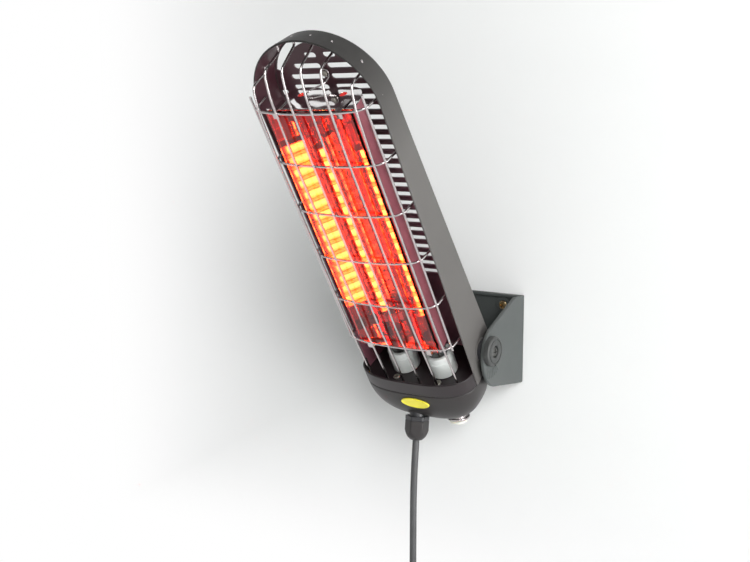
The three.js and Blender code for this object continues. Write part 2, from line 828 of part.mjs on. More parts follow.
// The bowl's plan: a superellipse in x and w, `offset` outside its driving size.
function bowlPlan(offset, shrink, u, steps = 32) {
  const ring = [];
  for (let i = 0; i < steps; i++) {
    const a = (i * TURN) / steps;
    const x = (BOWL.half + offset) * shrink * signedPower(Math.cos(a), 2 / BOWL.plan);
    const w = BOWL.w + (BOWL.depth + offset) * shrink * signedPower(Math.sin(a), 2 / BOWL.plan);
    ring.push(at(x, u, w));
  }
  return ring;
}

// The bowl's full form, `offset` outside its driving size, starting at `top`.
function bowlForm(offset, top = SEAM_U - GAP, steps = 8) {
  const rings = [];
  for (let i = 0; i <= steps; i++) {
    const a = (i * Math.PI) / 2 / steps;
    const shrink = Math.max(0.04, Math.pow(Math.cos(a), 2 / BOWL.profile));
    const fall = (BOWL.drop + offset) * Math.pow(Math.sin(a), 2 / BOWL.profile);
    rings.push(bowlPlan(offset, shrink, top - fall));
  }
  return loft(rings);
}

// Part of the plan in front of the body's rim, as a solid from u0 to u1.
function apron(offset, u0, u1) {
  const whole = loft([bowlPlan(offset, 1, u0), bowlPlan(offset, 1, u1)]);
  return cut(whole, [headBox(-90, 90, u0 - 1, u1 + 1, -60, RIM.w + GAP)]);
}

function socketTray() {
  const { floorTop, top, wall } = TRAY;
  const low = SEAM_U + GAP / 2;
  const draft = (RIM.half - REAR.half) / (RIM.w - REAR.w);
  const insideHalf = (w) => RIM.half - WALL - GAP - draft * (RIM.w - w);
  const back = rearW(floorTop) + WALL + GAP + 1.2;
  const floorShape = polygon([
    [-insideHalf(RIM.w), RIM.w + 1],
    [-insideHalf(back), back],
    [insideHalf(back), back],
    [insideHalf(RIM.w), RIM.w + 1],
  ]);
  const inner = loft([bowlPlan(-wall, 1, floorTop), bowlPlan(-wall, 1, top + 1)]);
  const collar = cut(apron(0, low, top), [inner]);
  const floor = alongU(floorShape, low, floorTop);
  const lip = REAR.half - GAP;
  const cheeks = [-1, 1].map((side) =>
    headBox(side > 0 ? lip - 3.7 : -lip, side > 0 ? lip : 3.7 - lip, low, floorTop + 6, 6, RIM.w + 1)
  );
  const holes = [];
  GUARD_X.forEach((x, i) => {
    for (const side of [-1, 1]) {
      const from = at(side * x * 1.01, low - 2, GUARD_W[i] - 4);
      holes.push(drum(from, AXIS.u, 8, WIRE_R + GAP, 8));
    }
  });
  for (const side of [-1, 1]) {
    holes.push(drum(at(side * LAMP.x, low - 2, LAMP.w), AXIS.u, 8, 8, 20));
    holes.push(drum(at(side * TRAY_SCREW.x, low - 2, TRAY_SCREW.w), AXIS.u, 8, 2, 10));
  }
  return cut(joined([collar, floor, ...cheeks]), holes);
}


const trayScrew = (side) =>
  panScrew(at(side * TRAY_SCREW.x, TRAY.floorTop + 0.1, TRAY_SCREW.w), at(0, -1, 0), 12, 1.6, 3.4);

// Directions in which the gland and the switch leave the bowl.
const GLAND_AXIS = at(0, -0.78, 0.626).normalize();
const GLAND_SEAT = at(-8, -61.9, 43.2);
const SWITCH_AXIS = at(0, -0.92, 0.39).normalize();
const SWITCH_SEAT = at(SWITCH.x, -75.4, 22.5);

const onAxis = (seat, axis, distance) => seat.clone().addScaledVector(axis, distance);

function lowerBowl() {
  const outer = bowlForm(0);
  const inner = bowlForm(-BOWL.wall, SEAM_U + 1, 6);
  const pads = [
    drum(onAxis(GLAND_SEAT, GLAND_AXIS, -GLAND.pad), GLAND_AXIS, GLAND.pad, 14, 16),
    drum(onAxis(SWITCH_SEAT, SWITCH_AXIS, -7), SWITCH_AXIS, 7, 14, 16),
  ];
  const lockR = GLAND.lock / Math.sqrt(3) + GAP;
  const posts = [-1, 1].map((side) =>
    drum(at(side * TRAY_SCREW.x, -70, TRAY_SCREW.w), AXIS.u, 70 + SEAM_U - GAP, 4, 8)
  );
  const filled = cut(outer, [inner]);
  const keptPosts = joined(posts).intersect(outer);
  const bores = [
    drum(GLAND_SEAT, GLAND_AXIS, 9, 14, 16),
    drum(onAxis(GLAND_SEAT, GLAND_AXIS, -20), GLAND_AXIS, 30, GLAND.thread + GAP, 16),
    drum(onAxis(GLAND_SEAT, GLAND_AXIS, -20), GLAND_AXIS, 20 - GLAND.pad, lockR, 16),
    drum(onAxis(SWITCH_SEAT, SWITCH_AXIS, -16), SWITCH_AXIS, 30, SWITCH.caseR + GAP, 18),
    ...[-1, 1].map((side) => drum(at(side * TRAY_SCREW.x, -36, TRAY_SCREW.w), AXIS.u, 20, 1.9, 8)),
  ];
  return cut(joined([filled, ...pads, keptPosts]), bores);
}


// A plain oval plate that hugs the bowl's front.
function ovalBadge() {
  const oval = new THREE.Shape();
  oval.absellipse(BADGE.x, BADGE.u, BADGE.halfX, BADGE.halfU, 0, TURN);
  const prism = alongW(oval, 40, 62, 20);
  return prism.intersect(cut(bowlForm(GAP + BADGE.thick), [bowlForm(GAP)]));
}

// ---- Cable gland, switch and wiring ----

function hexDrum(from, axis, height, across) {
  return drum(from, axis, height, across / Math.sqrt(3), 6);
}

function glandBody() {
  const flange = hexDrum(onAxis(GLAND_SEAT, GLAND_AXIS, GAP), GLAND_AXIS, GLAND.flange, GLAND.across);
  const { inside, thread } = GLAND;
  const length = inside + GLAND.flange + 7;
  const barrel = drum(onAxis(GLAND_SEAT, GLAND_AXIS, -inside), GLAND_AXIS, length, thread, 16);
  const bore = drum(onAxis(GLAND_SEAT, GLAND_AXIS, -inside - 1), GLAND_AXIS, 40, 5.8, 16);
  return cut(joined([flange, barrel]), [bore]);
}

function glandNut() {
  const start = GLAND.flange + 2 * GAP;
  const { nut, dome, across } = GLAND;
  const shell = hexDrum(onAxis(GLAND_SEAT, GLAND_AXIS, start), GLAND_AXIS, nut, across);
  const cap = turned(
    onAxis(GLAND_SEAT, GLAND_AXIS, start),
    GLAND_AXIS,
    [
      [0, 0],
      [across / 2 + 2, 0],
      [across / 2 + 2, nut - 3],
      [across / 2 - 0.6, nut + 1],
      [across / 2 - 2.6, nut + dome * 0.6],
      [across / 2 - 5.2, nut + dome],
      [0, nut + dome],
    ],
    14
  );
  const roundTop = turned(
    onAxis(GLAND_SEAT, GLAND_AXIS, start + nut - 1),
    GLAND_AXIS,
    [
      [0, 0],
      [across / 2 - 0.8, 0],
      [across / 2 - 2.6, 1 + dome * 0.6],
      [across / 2 - 5.2, 1 + dome],
      [0, 1 + dome],
    ],
    14
  );
  const threadR = GLAND.thread + GAP;
  const threadBore = drum(onAxis(GLAND_SEAT, GLAND_AXIS, start - 1), GLAND_AXIS, 8.6, threadR, 14);
  const throat = drum(onAxis(GLAND_SEAT, GLAND_AXIS, start + 5), GLAND_AXIS, 40, 5.6, 14);
  return cut(shell.intersect(cap).add(roundTop), [threadBore, throat]);
}

function glandSeal() {
  const from = onAxis(GLAND_SEAT, GLAND_AXIS, 3);
  const length = GLAND.flange + 2 * GAP + GLAND.nut + GLAND.dome - 3;
  const bore = drum(onAxis(from, GLAND_AXIS, -1), GLAND_AXIS, length + 2, CORD.r + GAP, 12);
  return cut(drum(from, GLAND_AXIS, length, 5.6 - GAP, 12), [bore]);
}

function glandLocknut() {
  const from = onAxis(GLAND_SEAT, GLAND_AXIS, -GLAND.pad - GAP - 4);
  const bore = drum(onAxis(from, GLAND_AXIS, -1), GLAND_AXIS, 6, GLAND.thread + GAP, 20);
  return cut(hexDrum(from, GLAND_AXIS, 4, GLAND.lock), [bore]);
}

// The switch's fixed part: a bezel ring outside the bowl and a case behind it.
function switchHousing() {
  const { bezelR, bootR, caseR, stemR, ledge } = SWITCH;
  const profile = [
    [stemR, -14],
    [caseR, -14],
    [caseR, GAP],
    [bezelR, GAP],
    [bezelR, ledge + 0.8],
    [bezelR - 1, ledge + 1.6],
    [bootR + 2 * GAP, ledge + 1.6],
    [bootR + 2 * GAP, ledge],
    [stemR, ledge],
  ];
  profile.push(profile[0]);
  const ring = turned(SWITCH_SEAT, SWITCH_AXIS, profile, 18);
  const floor = drum(onAxis(SWITCH_SEAT, SWITCH_AXIS, -16), SWITCH_AXIS, 3, caseR, 18);
  return joined([ring, floor]);
}

// The push-button, with its domed soft boot, at its outer position.
function switchButton() {
  const { bootR, stemR, ledge, travel } = SWITCH;
  const low = ledge + GAP + travel;
  const profile = [
    [0, -9.4],
    [stemR - 0.8, -9.4],
    [stemR - 0.8, low],
    [bootR, low],
    [bootR, low + 1.4],
  ];
  for (let i = 1; i <= 5; i++) {
    const a = (i * Math.PI) / 10;
    profile.push([bootR * Math.cos(a), low + 1.4 + 2.8 * Math.sin(a)]);
  }
  return turned(SWITCH_SEAT, SWITCH_AXIS, profile, 18);
}

// ---- Pivots ----

// A round cap whose spigot fills the cheek's hole, with a mark that points at the scale.
function pivotCap(side) {
  const { r, rise, grooveOut, grooveIn, grooveDeep, recessR, recess } = CAP;
  const out = new THREE.Vector3(side, 0, 0);
  const from = at(side * (CHEEK.outer + GAP), 0, 0);
  const bore = PIVOT.screwR + GAP;
  const spigot = CHEEK.outer - BOSS_FACE;
  const profile = [
    [bore, -spigot],
    [PIVOT.holeR - GAP, -spigot],
    [PIVOT.holeR - GAP, 0],
    [r, 0],
    [r, rise - 1],
    [r - 1, rise],
    [grooveOut, rise],
    [grooveOut, rise - grooveDeep],
    [grooveIn, rise - grooveDeep],
    [grooveIn, rise],
    [recessR, rise],
    [recessR, rise - recess],
    [bore, rise - recess],
    [bore, -spigot],
  ];
  const cap = turned(from, out, profile, 16);
  // The mark points straight down when the head stands at its photographed tilt.
  const angle = radians(-TILT);
  const mark = new THREE.BoxGeometry(3, 3, 4);
  mark.rotateX(angle);
  mark.translate(side * (CHEEK.outer + GAP + rise), r * Math.sin(angle), -r * Math.cos(angle));
  return cut(cap, [solid(mark)]);
}

function pivotScrew(side) {
  const seat = CHEEK.outer + GAP + CAP.rise - CAP.recess + GAP / 2;
  return panScrew(at(side * seat, 0, 0), at(-side, 0, 0), seat - PIVOT.bossFrom + 7, PIVOT.screwR, 4.8, 2.6);
}

function pivotWasher(side) {
  const from = BOSS_FACE + GAP;
  const thick = CHEEK.outer - CHEEK.thick - GAP - from;
  const out = new THREE.Vector3(side, 0, 0);
  const ring = drum(at(side * from, 0, 0), out, thick, PIVOT.washerR, 16);
  return cut(ring, [drum(at(side * (from - 1), 0, 0), out, thick + 2, PIVOT.holeR, 16)]);
}

function pivotNut(side) {
  const into = new THREE.Vector3(-side, 0, 0);
  const nut = hexDrum(at(side * (PIVOT.bossFrom - GAP), 0, 0), into, 4, 8);
  return cut(nut, [drum(at(side * (PIVOT.bossFrom + 1.5), 0, 0), into, 8, PIVOT.screwR + GAP / 2, 14)]);
}

// ---- Wiring inside the bowl ----


function terminalBlock() {
  const { halfX, low, high, w0, w1, pole } = BLOCK;
  const body = headBox(-halfX, halfX, low, high, w0, w1);
  const holes = [];
  for (const x of [-pole, 0, pole]) {
    holes.push(drum(at(x, (low + high) / 2, w0 - 1), AXIS.w, w1 - w0 + 2, 2, 8));
    holes.push(drum(at(x, low - 1, (w0 + w1) / 2), AXIS.u, (high - low) / 2, 1.8, 6));
  }
  return cut(body, holes);
}

// An insulated lead along the corners of a route in the head frame.
const lead = (corners) => wire(bent(corners, 7, radians(45)), 1.1, 5);

const midU = (BLOCK.low + BLOCK.high) / 2;

function lampLead(side) {
  const x = side * (LAMP.x - 5);
  return lead([
    at(x, -12, LAMP.w),
    at(x, -23, LAMP.w),
    at(x, -28, LAMP.w + 5),
    at(side * BLOCK.pole, midU, BLOCK.w1 + 7),
    at(side * BLOCK.pole, midU, BLOCK.w1 - 5),
  ]);
}

function lampLink() {
  const x = LAMP.x + 5;
  return lead([
    at(-x, -12, LAMP.w),
    at(-x, -27, LAMP.w),
    at(-x + 6, -30, -4),
    at(x - 6, -30, -4),
    at(x, -27, LAMP.w),
    at(x, -12, LAMP.w),
  ]);
}

// ---- Cord, hank and plug, in the wall frame ----


// Where a point of the head frame lies in the wall frame, at the photographed tilt.
function inWallFrame(point) {
  const turn = new THREE.Matrix4().makeRotationX(radians(TILT));
  return point.clone().applyMatrix4(turn).add(new THREE.Vector3(0, -PIVOT.reach, PIVOT.height));
}

// The cord's route: through the gland along its axis, then down under its own weight.
function cordRoute() {
  const seat = inWallFrame(GLAND_SEAT);
  const axis = inWallFrame(onAxis(GLAND_SEAT, GLAND_AXIS, 1)).sub(seat);
  const points = [-CORD_INSIDE, -5, 8, 20, 31].map((d) => onAxis(seat, axis, d));
  const start = points[points.length - 1];
  const hang = new THREE.Vector3(seat.x, start.y - 4, start.z - 75);
  const swing = new THREE.CubicBezierCurve3(
    start,
    onAxis(start, axis, 25),
    new THREE.Vector3(hang.x, hang.y, hang.z + 28),
    hang
  );
  points.push(...swing.getPoints(6).slice(1));
  for (let i = 1; i <= 4; i++) {
    points.push(new THREE.Vector3(hang.x, hang.y, THREE.MathUtils.lerp(hang.z, CORD.end, i / 4)));
  }
  return points;
}

// The hank's route: `loops` flat loops behind each other, drawn in alike at the waist, each
// climbing towards the wall along its left run, and a last fold that drops the plug beside them.
function hankRoute() {
  const { loops, run, fold, drawIn, pitch, lead: leadIn, tailFold } = HANK;
  const from = cordRoute().pop();
  const top = CORD.end - leadIn;
  const points = [new THREE.Vector3(from.x, from.y, CORD.end - GAP)];
  const place = (x, y, z) => points.push(new THREE.Vector3(from.x + x, from.y + y, top + z));
  const arc = (centre, y, z, r, fromDegrees, toDegrees) => {
    for (let i = 1; i <= 6; i++) {
      const a = radians(THREE.MathUtils.lerp(fromDegrees, toDegrees, i / 6));
      place(centre + r * Math.cos(a), y, z + r * Math.sin(a));
    }
  };
  place(0, 0, 8);
  for (let loop = 0; loop < loops; loop++) {
    for (let i = 0; i <= 6; i++) {
      const s = i / 6;
      const waist = (drawIn * (1 - Math.cos(TURN * s))) / 2;
      const climb = (1 - Math.cos(Math.PI * s)) / 2;
      if (i > 0 || loop === 0) place(waist, pitch * (loop + climb), -run * s);
    }
    const y = pitch * (loop + 1);
    arc(fold, y, -run, fold, 180, 360);
    for (let i = 1; i <= 6; i++) {
      const s = i / 6;
      const waist = (drawIn * (1 - Math.cos(TURN * s))) / 2;
      place(2 * fold - waist, y, -run * (1 - s));
    }
    if (loop + 1 < loops) arc(fold, y, 0, fold, 0, 180);
    else arc(2 * fold + tailFold, y, 0, tailFold, 180, 0);
  }
  place(2 * (fold + tailFold), pitch * loops, -9);
  return points;
}

// The least clear distance between stretches of a tube that aren't neighbours along it.
function leastGap(points, r) {
  let least = Infinity;
  const nearest = new THREE.Vector3();
  for (let i = 0; i + 1 < points.length; i++) {
    const stretch = new THREE.Line3(points[i], points[i + 1]);
    for (let j = 0; j < points.length; j++) {
      if (Math.abs(j - i) < 8) continue;
      stretch.closestPointToPoint(points[j], true, nearest);
      least = Math.min(least, nearest.distanceTo(points[j]) - 2 * r);
    }
  }
  return least;
}

function hankTie() {
  const from = cordRoute().pop();
  const { fold, drawIn, pitch, loops, run, lead: leadIn } = HANK;
  const { height, thick, slack } = TIE;
  const halfX = fold - drawIn + CORD.r + slack;
  const halfY = (pitch * (loops - 0.5)) / 2 + CORD.r + slack;
  const waist = CORD.end - leadIn - run / 2;
  const centre = new THREE.Vector3(from.x + fold, from.y + (pitch * (loops + 0.5)) / 2, waist);
  const band = (grow) => {
    const corner = CORD.r + grow;
    const x = halfX + grow;
    const y = halfY + grow;
    const shape = new THREE.Shape();
    shape.absarc(x - corner, y - corner, corner, 0, Math.PI / 2);
    shape.absarc(-x + corner, y - corner, corner, Math.PI / 2, Math.PI);
    shape.absarc(-x + corner, -y + corner, corner, Math.PI, 1.5 * Math.PI);
    shape.absarc(x - corner, -y + corner, corner, 1.5 * Math.PI, TURN);
    return shape;
  };
  const shape = band(thick);
  shape.holes.push(band(0));
  const options = { depth: height, bevelEnabled: false, curveSegments: 2 };
  const geometry = new THREE.ExtrudeGeometry(shape, options);
  geometry.translate(centre.x, centre.y, centre.z - height / 2);
  return solid(geometry);
}

const DOWN = new THREE.Vector3(0, 0, -1);

// Where the plug's neck begins, just below the cord's end.
const plugTop = () => hankRoute().pop().addScaledVector(DOWN, GAP);

function plugBody() {
  const { r, length, neckR, neck, pinR, pinSpacing, pinDepth } = PLUG;
  const from = plugTop();
  const body = turned(
    from,
    DOWN,
    [
      [0, 0],
      [neckR - 1, 0],
      [neckR, neck],
      [r - 3, neck + 7],
      [r, neck + 13],
      [r, neck + length - 1],
      [r - 1, neck + length],
      [0, neck + length],
    ],
    16
  );
  const face = neck + length;
  const holes = [-1, 1].map((side) => {
    const start = from.clone().add(new THREE.Vector3((side * pinSpacing) / 2, 0, -face + pinDepth));
    return drum(start, DOWN, pinDepth + 1, pinR + GAP / 2, 12);
  });
  const grooves = [-1, 1].map((side) =>
    box(
      from.clone().add(new THREE.Vector3(0, side * r, -face + 8.5)),
      new THREE.Vector3(7, 5, 19)
    )
  );
  return cut(body, [...holes, ...grooves]);
}

function plugPin(side) {
  const { length, neck, pinR, pinLength, pinSpacing, pinDepth } = PLUG;
  const low = pinDepth - neck - length - GAP;
  const start = plugTop().add(new THREE.Vector3((side * pinSpacing) / 2, 0, low));
  const total = pinDepth + pinLength - GAP;
  const profile = [
    [0, 0],
    [pinR, 0],
    [pinR, total - 1.6],
    [pinR - 1.2, total],
    [0, total],
  ];
  return turned(start, DOWN, profile, 12);
}

// A bent earth contact that lies in the groove at the plug's side.
function plugEarthClip(side) {
  const { r, length, neck } = PLUG;
  const place = new THREE.Vector3(0, side * (r - 2.5 + GAP + 0.5), -(neck + length) + 9);
  return box(plugTop().add(place), new THREE.Vector3(6, 1, 17));
}

// ---- Assembly ----

const headGroup = new THREE.Group();
headGroup.position.set(0, -PIVOT.reach, PIVOT.height);
headGroup.rotation.x = radians(TILT);

const heater = new THREE.Group();
heater.name = "electric_bar_heater";
heater.add(headGroup);

heater.add(piece("wall_bracket", wallBracket(), plastic()));
screwPlaces().forEach(([x, z], i) => heater.add(piece(`wall_screw_${i + 1}`, wallScrew(x, z), steel())));

const head = (name, body, look) => headGroup.add(piece(name, body, look));

head("body_shell", bodyShell(), charcoal());
head("reflector_trough", reflectorTrough(), polished());
head("reflector_end_top", endPlate(TROUGH.high + GAP, 3.4), polished());
head("reflector_end_bottom", endPlate(TROUGH.low - 1 - GAP, LAMP.tubeR + 0.8), polished());
STAY.places.forEach((u, i) => head(`reflector_stay_${i + 1}`, reflectorStay(u), steel()));
head("filter_glass", filterGlass(), material(0xc0152a, 0.05, 0));
for (const [end, name] of [[1, "top"], [-1, "bottom"]]) {
  head(`glass_clip_${name}_left`, glassClip(-CLIP.x, end), chrome());
  head(`glass_clip_${name}_right`, glassClip(CLIP.x, end), chrome());
}
for (const [side, name] of [[-1, "left"], [1, "right"]]) {
  head(`lamp_tube_${name}`, lampTube(side), material(0xf4efe8, 0.05, 0));
  head(`lamp_filament_${name}`, filament(side), material(0xffb347, 0.6, 0.3));
  head(`lamp_base_${name}`, lampBase(side), ceramic());
}
head("top_hanger", topHanger(), chrome());
head("hanger_screw", hangerScrew(), steel());
head("wire_guard", wireGuard(), chrome());
head("socket_tray", socketTray(), plastic());
head("tray_screw_left", trayScrew(-1), steel());
head("tray_screw_right", trayScrew(1), steel());
head("lower_bowl", lowerBowl(), plastic());
head("oval_badge", ovalBadge(), material(0xf1e13a, 0.35, 0));
head("gland_body", glandBody(), blackPlastic());
head("gland_nut", glandNut(), blackPlastic());
head("gland_seal", glandSeal(), blackPlastic());
head("gland_locknut", glandLocknut(), blackPlastic());
head("switch_housing", switchHousing(), material(0xd8d3c4, 0.5, 0));
head("switch_button", switchButton(), material(0xe8e3d6, 0.45, 0));

for (const [side, name] of [[-1, "left"], [1, "right"]]) {
  head(`pivot_cap_${name}`, pivotCap(side), plastic());
  head(`pivot_screw_${name}`, pivotScrew(side), steel());
  head(`pivot_washer_${name}`, pivotWasher(side), blackPlastic());
  head(`pivot_nut_${name}`, pivotNut(side), steel());
}
const brown = () => material(0x5d3a26, 0.6, 0);
head("terminal_block", terminalBlock(), ceramic());
head("lead_lamp_left", lampLead(-1), brown());
head("lead_lamp_right", lampLead(1), brown());
head("lead_lamp_link", lampLink(), brown());

const rubber = () => material(0x77797a, 0.7, 0);
const hank = hankRoute();
console.log(`hank: least gap to itself ${leastGap(hank, CORD.r).toFixed(2)} mm`);
heater.add(piece("cord", wire(cordRoute(), CORD.r, 10), rubber()));
heater.add(piece("cord_hank", wire(hank, CORD.r, 6), rubber()));
heater.add(piece("hank_tie", hankTie(), blackPlastic()));
heater.add(piece("plug_body", plugBody(), blackPlastic()));
for (const [side, name] of [[-1, "1"], [1, "2"]]) {
  heater.add(piece(`plug_pin_${name}`, plugPin(side), steel()));
  heater.add(piece(`plug_earth_clip_${name}`, plugEarthClip(side), steel()));
}

export default heater;
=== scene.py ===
"""Looks of a wall-mounted electric bar heater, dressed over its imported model.

Laid out as an add-on: sizes and colours are properties, each piece or group of like pieces has
its operator, and main() runs them in order. Points of the tilted head are written (x, u, w):
across, up along the head, and out through its open front.
"""

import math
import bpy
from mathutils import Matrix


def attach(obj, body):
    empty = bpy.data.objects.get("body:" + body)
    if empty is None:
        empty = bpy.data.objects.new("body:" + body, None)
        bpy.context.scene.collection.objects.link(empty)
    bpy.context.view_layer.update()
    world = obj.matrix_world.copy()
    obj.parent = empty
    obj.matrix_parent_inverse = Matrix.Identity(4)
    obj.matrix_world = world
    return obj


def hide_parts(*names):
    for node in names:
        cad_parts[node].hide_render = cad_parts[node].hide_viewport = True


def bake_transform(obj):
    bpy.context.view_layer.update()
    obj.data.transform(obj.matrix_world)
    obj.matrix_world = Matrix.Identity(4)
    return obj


bl_info = {
    "name": "Electric Bar Heater",
    "version": (1, 0, 0),
    "blender": (4, 5, 0),
    "location": "3D Viewport > Sidebar > Heater",
    "description": "Builds the pieces, finishes and studio of a wall-mounted electric bar heater",
    "category": "Add Mesh",
}

import bmesh
import bpy
import numpy as np
from bpy.props import FloatProperty, FloatVectorProperty, IntProperty, PointerProperty
from mathutils import Vector

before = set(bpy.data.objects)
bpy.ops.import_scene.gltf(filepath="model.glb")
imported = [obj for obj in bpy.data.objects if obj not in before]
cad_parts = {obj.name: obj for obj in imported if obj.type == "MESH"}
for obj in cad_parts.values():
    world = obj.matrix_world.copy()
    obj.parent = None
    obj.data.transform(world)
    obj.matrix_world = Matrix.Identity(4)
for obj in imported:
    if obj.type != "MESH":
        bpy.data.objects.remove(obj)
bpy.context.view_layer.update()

HEAD, BRACKET, BUTTON = "head", "bracket", "button"
TURN = 2 * math.pi
SIDES = ((-1, "left"), (1, "right"))
GAP = 0.0003  # clearance between touching pieces

# Where the cable gland and the switch sit on the bowl, and where they point: (x, u, w).
GLAND_SEAT, GLAND_AXIS = (-0.008, -0.0619, 0.0432), (0, -0.78, 0.626)
SWITCH_SEAT, SWITCH_AXIS = (0.025, -0.0754, 0.0225), (0, -0.92, 0.39)

# Heights of the reflector's two stays on the shell's back, and the radius of their holes.
STAY_PLACES, STAY_HOLE = (0.0523, 0.2431), 0.0023

# The point that both lights look at, in the wall's frame.
LIT_POINT = (0.0, -0.1, 0.1)


# ---- Sizes and colours that a user may change ----


def distance(name, default, description):
    """A length in metres."""
    kind = {"unit": "LENGTH", "subtype": "DISTANCE", "precision": 4}
    return FloatProperty(name=name, default=default, description=description, **kind)


def colour(name, default, description):
    """A linear colour."""
    kind = {"size": 3, "min": 0, "max": 1, "subtype": "COLOR"}
    return FloatVectorProperty(name=name, default=default, description=description, **kind)


def angle(name, degrees, description):
    """An angle, given here in degrees."""
    default = math.radians(degrees)
    return FloatProperty(name=name, default=default, description=description, subtype="ANGLE")


def triple(name, default, description):
    """Three lengths in metres."""
    return FloatVectorProperty(name=name, default=default, description=description, precision=4)


def plain(name, default, description):
    """A number without a unit."""
    return FloatProperty(name=name, default=default, description=description)


class HeaterHeadSizes(bpy.types.PropertyGroup):
    """The body shell and how it stands."""

    tilt: angle("Tilt", 32.6, "Lean of the head out from the wall")
    reach: distance("Pivot reach", 0.0716, "From the wall to the pivots")
    rim_half: distance("Rim half-width", 0.064, "Half the open front's width")
    rim_w: distance("Rim depth", 0.0253, "Front edge in front of the pivots")
    arc_u: distance("Arch centre", 0.289, "Where the rounded top begins")
    rear_half: distance("Back half-width", 0.0605, "Half the back's width")
    rear_w: distance("Back depth", -0.0245, "Back of the shell at pivot height")
    rear_slope: plain("Back slope", 0.07, "How far the back comes forward per length upwards")
    sheet: distance("Sheet", 0.0018, "Thickness of the body's wall")
    seam_u: distance("Seam", -0.023, "Where the bowl begins")
    corner: distance("Back corner", 0.0032, "Outer radius between the side and the back")
    ring_in: distance("Ring slot, inner", 0.0105, "Inner edge of the edge slots, in from the back's edge")
    ring_out: distance("Ring slot, outer", 0.0036, "Outer edge of the edge slots, in from the back's edge")
    slot_pitch: distance("Louvre pitch", 0.0106, "From one louvre to the next")
    slot_height: distance("Louvre height", 0.0052, "Opening of a louvre")
    slot_inner: distance("Louvre inner end", 0.0036, "Half the strip between both columns")
    slot_outer: distance("Louvre outer end", 0.0405, "Reach of a louvre from the middle")
    slot_low: distance("Lowest louvre", 0.0817, "Height of the lowest louvre")
    slot_rise: distance("Highest louvre", 0.0365, "Height of the highest louvre over the arch centre")


class HeaterBracketSizes(bpy.types.PropertyGroup):
    """The wall bracket and the caps over its pivots."""

    outer: distance("Half-width", 0.072, "Half the width over both arms")
    height: distance("Height", 0.090, "Height of the back plate")
    sheet: distance("Sheet", 0.004, "Thickness of the plate and the arms")
    rib: distance("Rib", 0.007, "Depth of the plate's upper and lower edge")
    screw_x: distance("Screw spacing", 0.0505, "Half the distance between the screws across")
    screw_z: distance("Screw height", 0.034, "Half the distance between the screws upwards")
    pivot_hole: distance("Pivot hole", 0.0063, "Radius of the hole in each arm")
    cap: distance("Cap radius", 0.0148, "Radius of the pivot caps")
    cap_rise: distance("Cap height", 0.0056, "How far the caps stand out from the arms")


class HeaterGuardSizes(bpy.types.PropertyGroup):
    """The wire guard over the front."""

    wire: distance("Wire radius", 0.0011, "Radius of the guard's wire")
    spread: triple("Wire places", (0.0095, 0.0285, 0.0505), "Half-spacings of the front wires")
    depth: triple("Wire depths", (0.0456, 0.045, 0.0416), "How far out each pair runs")
    rise: triple("Wire tops", (0.046, 0.0445, 0.0285), "Bend of each pair over the arch centre")
    first: distance("Lowest rung", 0.035, "Height of the lowest cross wire")
    shoulder_in: distance("Shoulder", 0.0065, "How far in from the rim the rungs bend")
    shoulder_w: distance("Shoulder depth", 0.035, "How far out the rungs bend")
    rung_w: distance("Rung ends", 0.017, "Depth at which the rungs enter the shell")
    top_w: distance("Wire ends", 0.013, "Depth at which the front wires enter the shell")
    rungs: IntProperty(name="Rungs", default=6, min=2, description="Number of cross wires")


class HeaterReflectorSizes(bpy.types.PropertyGroup):
    """The polished trough and the filter glass over it."""

    half: distance("Half-width", 0.0435, "Half the trough's mouth")
    front: distance("Mouth depth", 0.0366, "Where the trough ends under the glass")
    back: distance("Floor depth", 0.003, "Lowest part behind each lamp")
    ridge: distance("Ridge", 0.011, "Height of the ridge between the lamps")
    sheet: distance("Sheet", 0.001, "Thickness of the polished sheet")
    low: distance("Low end", 0.029, "Bottom of the trough")
    high: distance("High end", 0.295, "Top of the trough")
    glass: distance("Glass", 0.0036, "Thickness of the filter glass")


class HeaterLampSizes(bpy.types.PropertyGroup):
    """The two lamps and their sockets."""

    x: distance("Spacing", 0.0217, "Half the distance between the lamps")
    w: distance("Depth", 0.014, "Lamp axis in front of the pivots")
    tube: distance("Tube radius", 0.009, "Outside of the quartz tube")
    wall: distance("Tube wall", 0.0011, "Thickness of the quartz")
    top: distance("Tube top", 0.288, "Top of the tube")
    base: distance("Socket radius", 0.014, "Radius of the ceramic socket")
    base_height: distance("Socket height", 0.0245, "Height of the ceramic socket")
    coil: distance("Coil radius", 0.0021, "Radius of the wound filament")
    lit_low: distance("Lit from", 0.058, "Bottom of the glowing part")
    lit_high: distance("Lit to", 0.246, "Top of the glowing part")
    coils: IntProperty(name="Coils", default=15, min=1, description="Separate coils of one filament")


class HeaterBowlSizes(bpy.types.PropertyGroup):
    """The moulded bowl, its collar, and what is fitted on it."""

    half: distance("Half-width", 0.063, "Half the bowl's width")
    w: distance("Centre depth", 0.017, "Middle of the bowl in front of the pivots")
    depth: distance("Half-depth", 0.034, "Half the bowl's depth")
    drop: distance("Drop", 0.051, "Height of the bowl")
    plan: plain("Plan power", 3.0, "Power of the superellipse seen from below")
    profile: plain("Profile power", 2.4, "Power of the superellipse seen from the side")
    wall: distance("Wall", 0.0022, "Thickness of the moulding")
    collar: distance("Collar top", -0.0075, "Top edge of the collar")
    floor: distance("Floor", -0.0204, "Top of the tray's floor")
    badge_x: distance("Badge, across", 0.0025, "Middle of the badge across the head")
    badge_u: distance("Badge, along", -0.0342, "Middle of the badge along the head")
    badge_half_x: distance("Badge half-width", 0.016, "Half the badge's width")
    badge_half_u: distance("Badge half-height", 0.0064, "Half the badge's height")
    across: distance("Gland", 0.0215, "Width of the gland's nut across its flats")
    boot: distance("Switch boot", 0.0093, "Radius of the switch's soft cover")


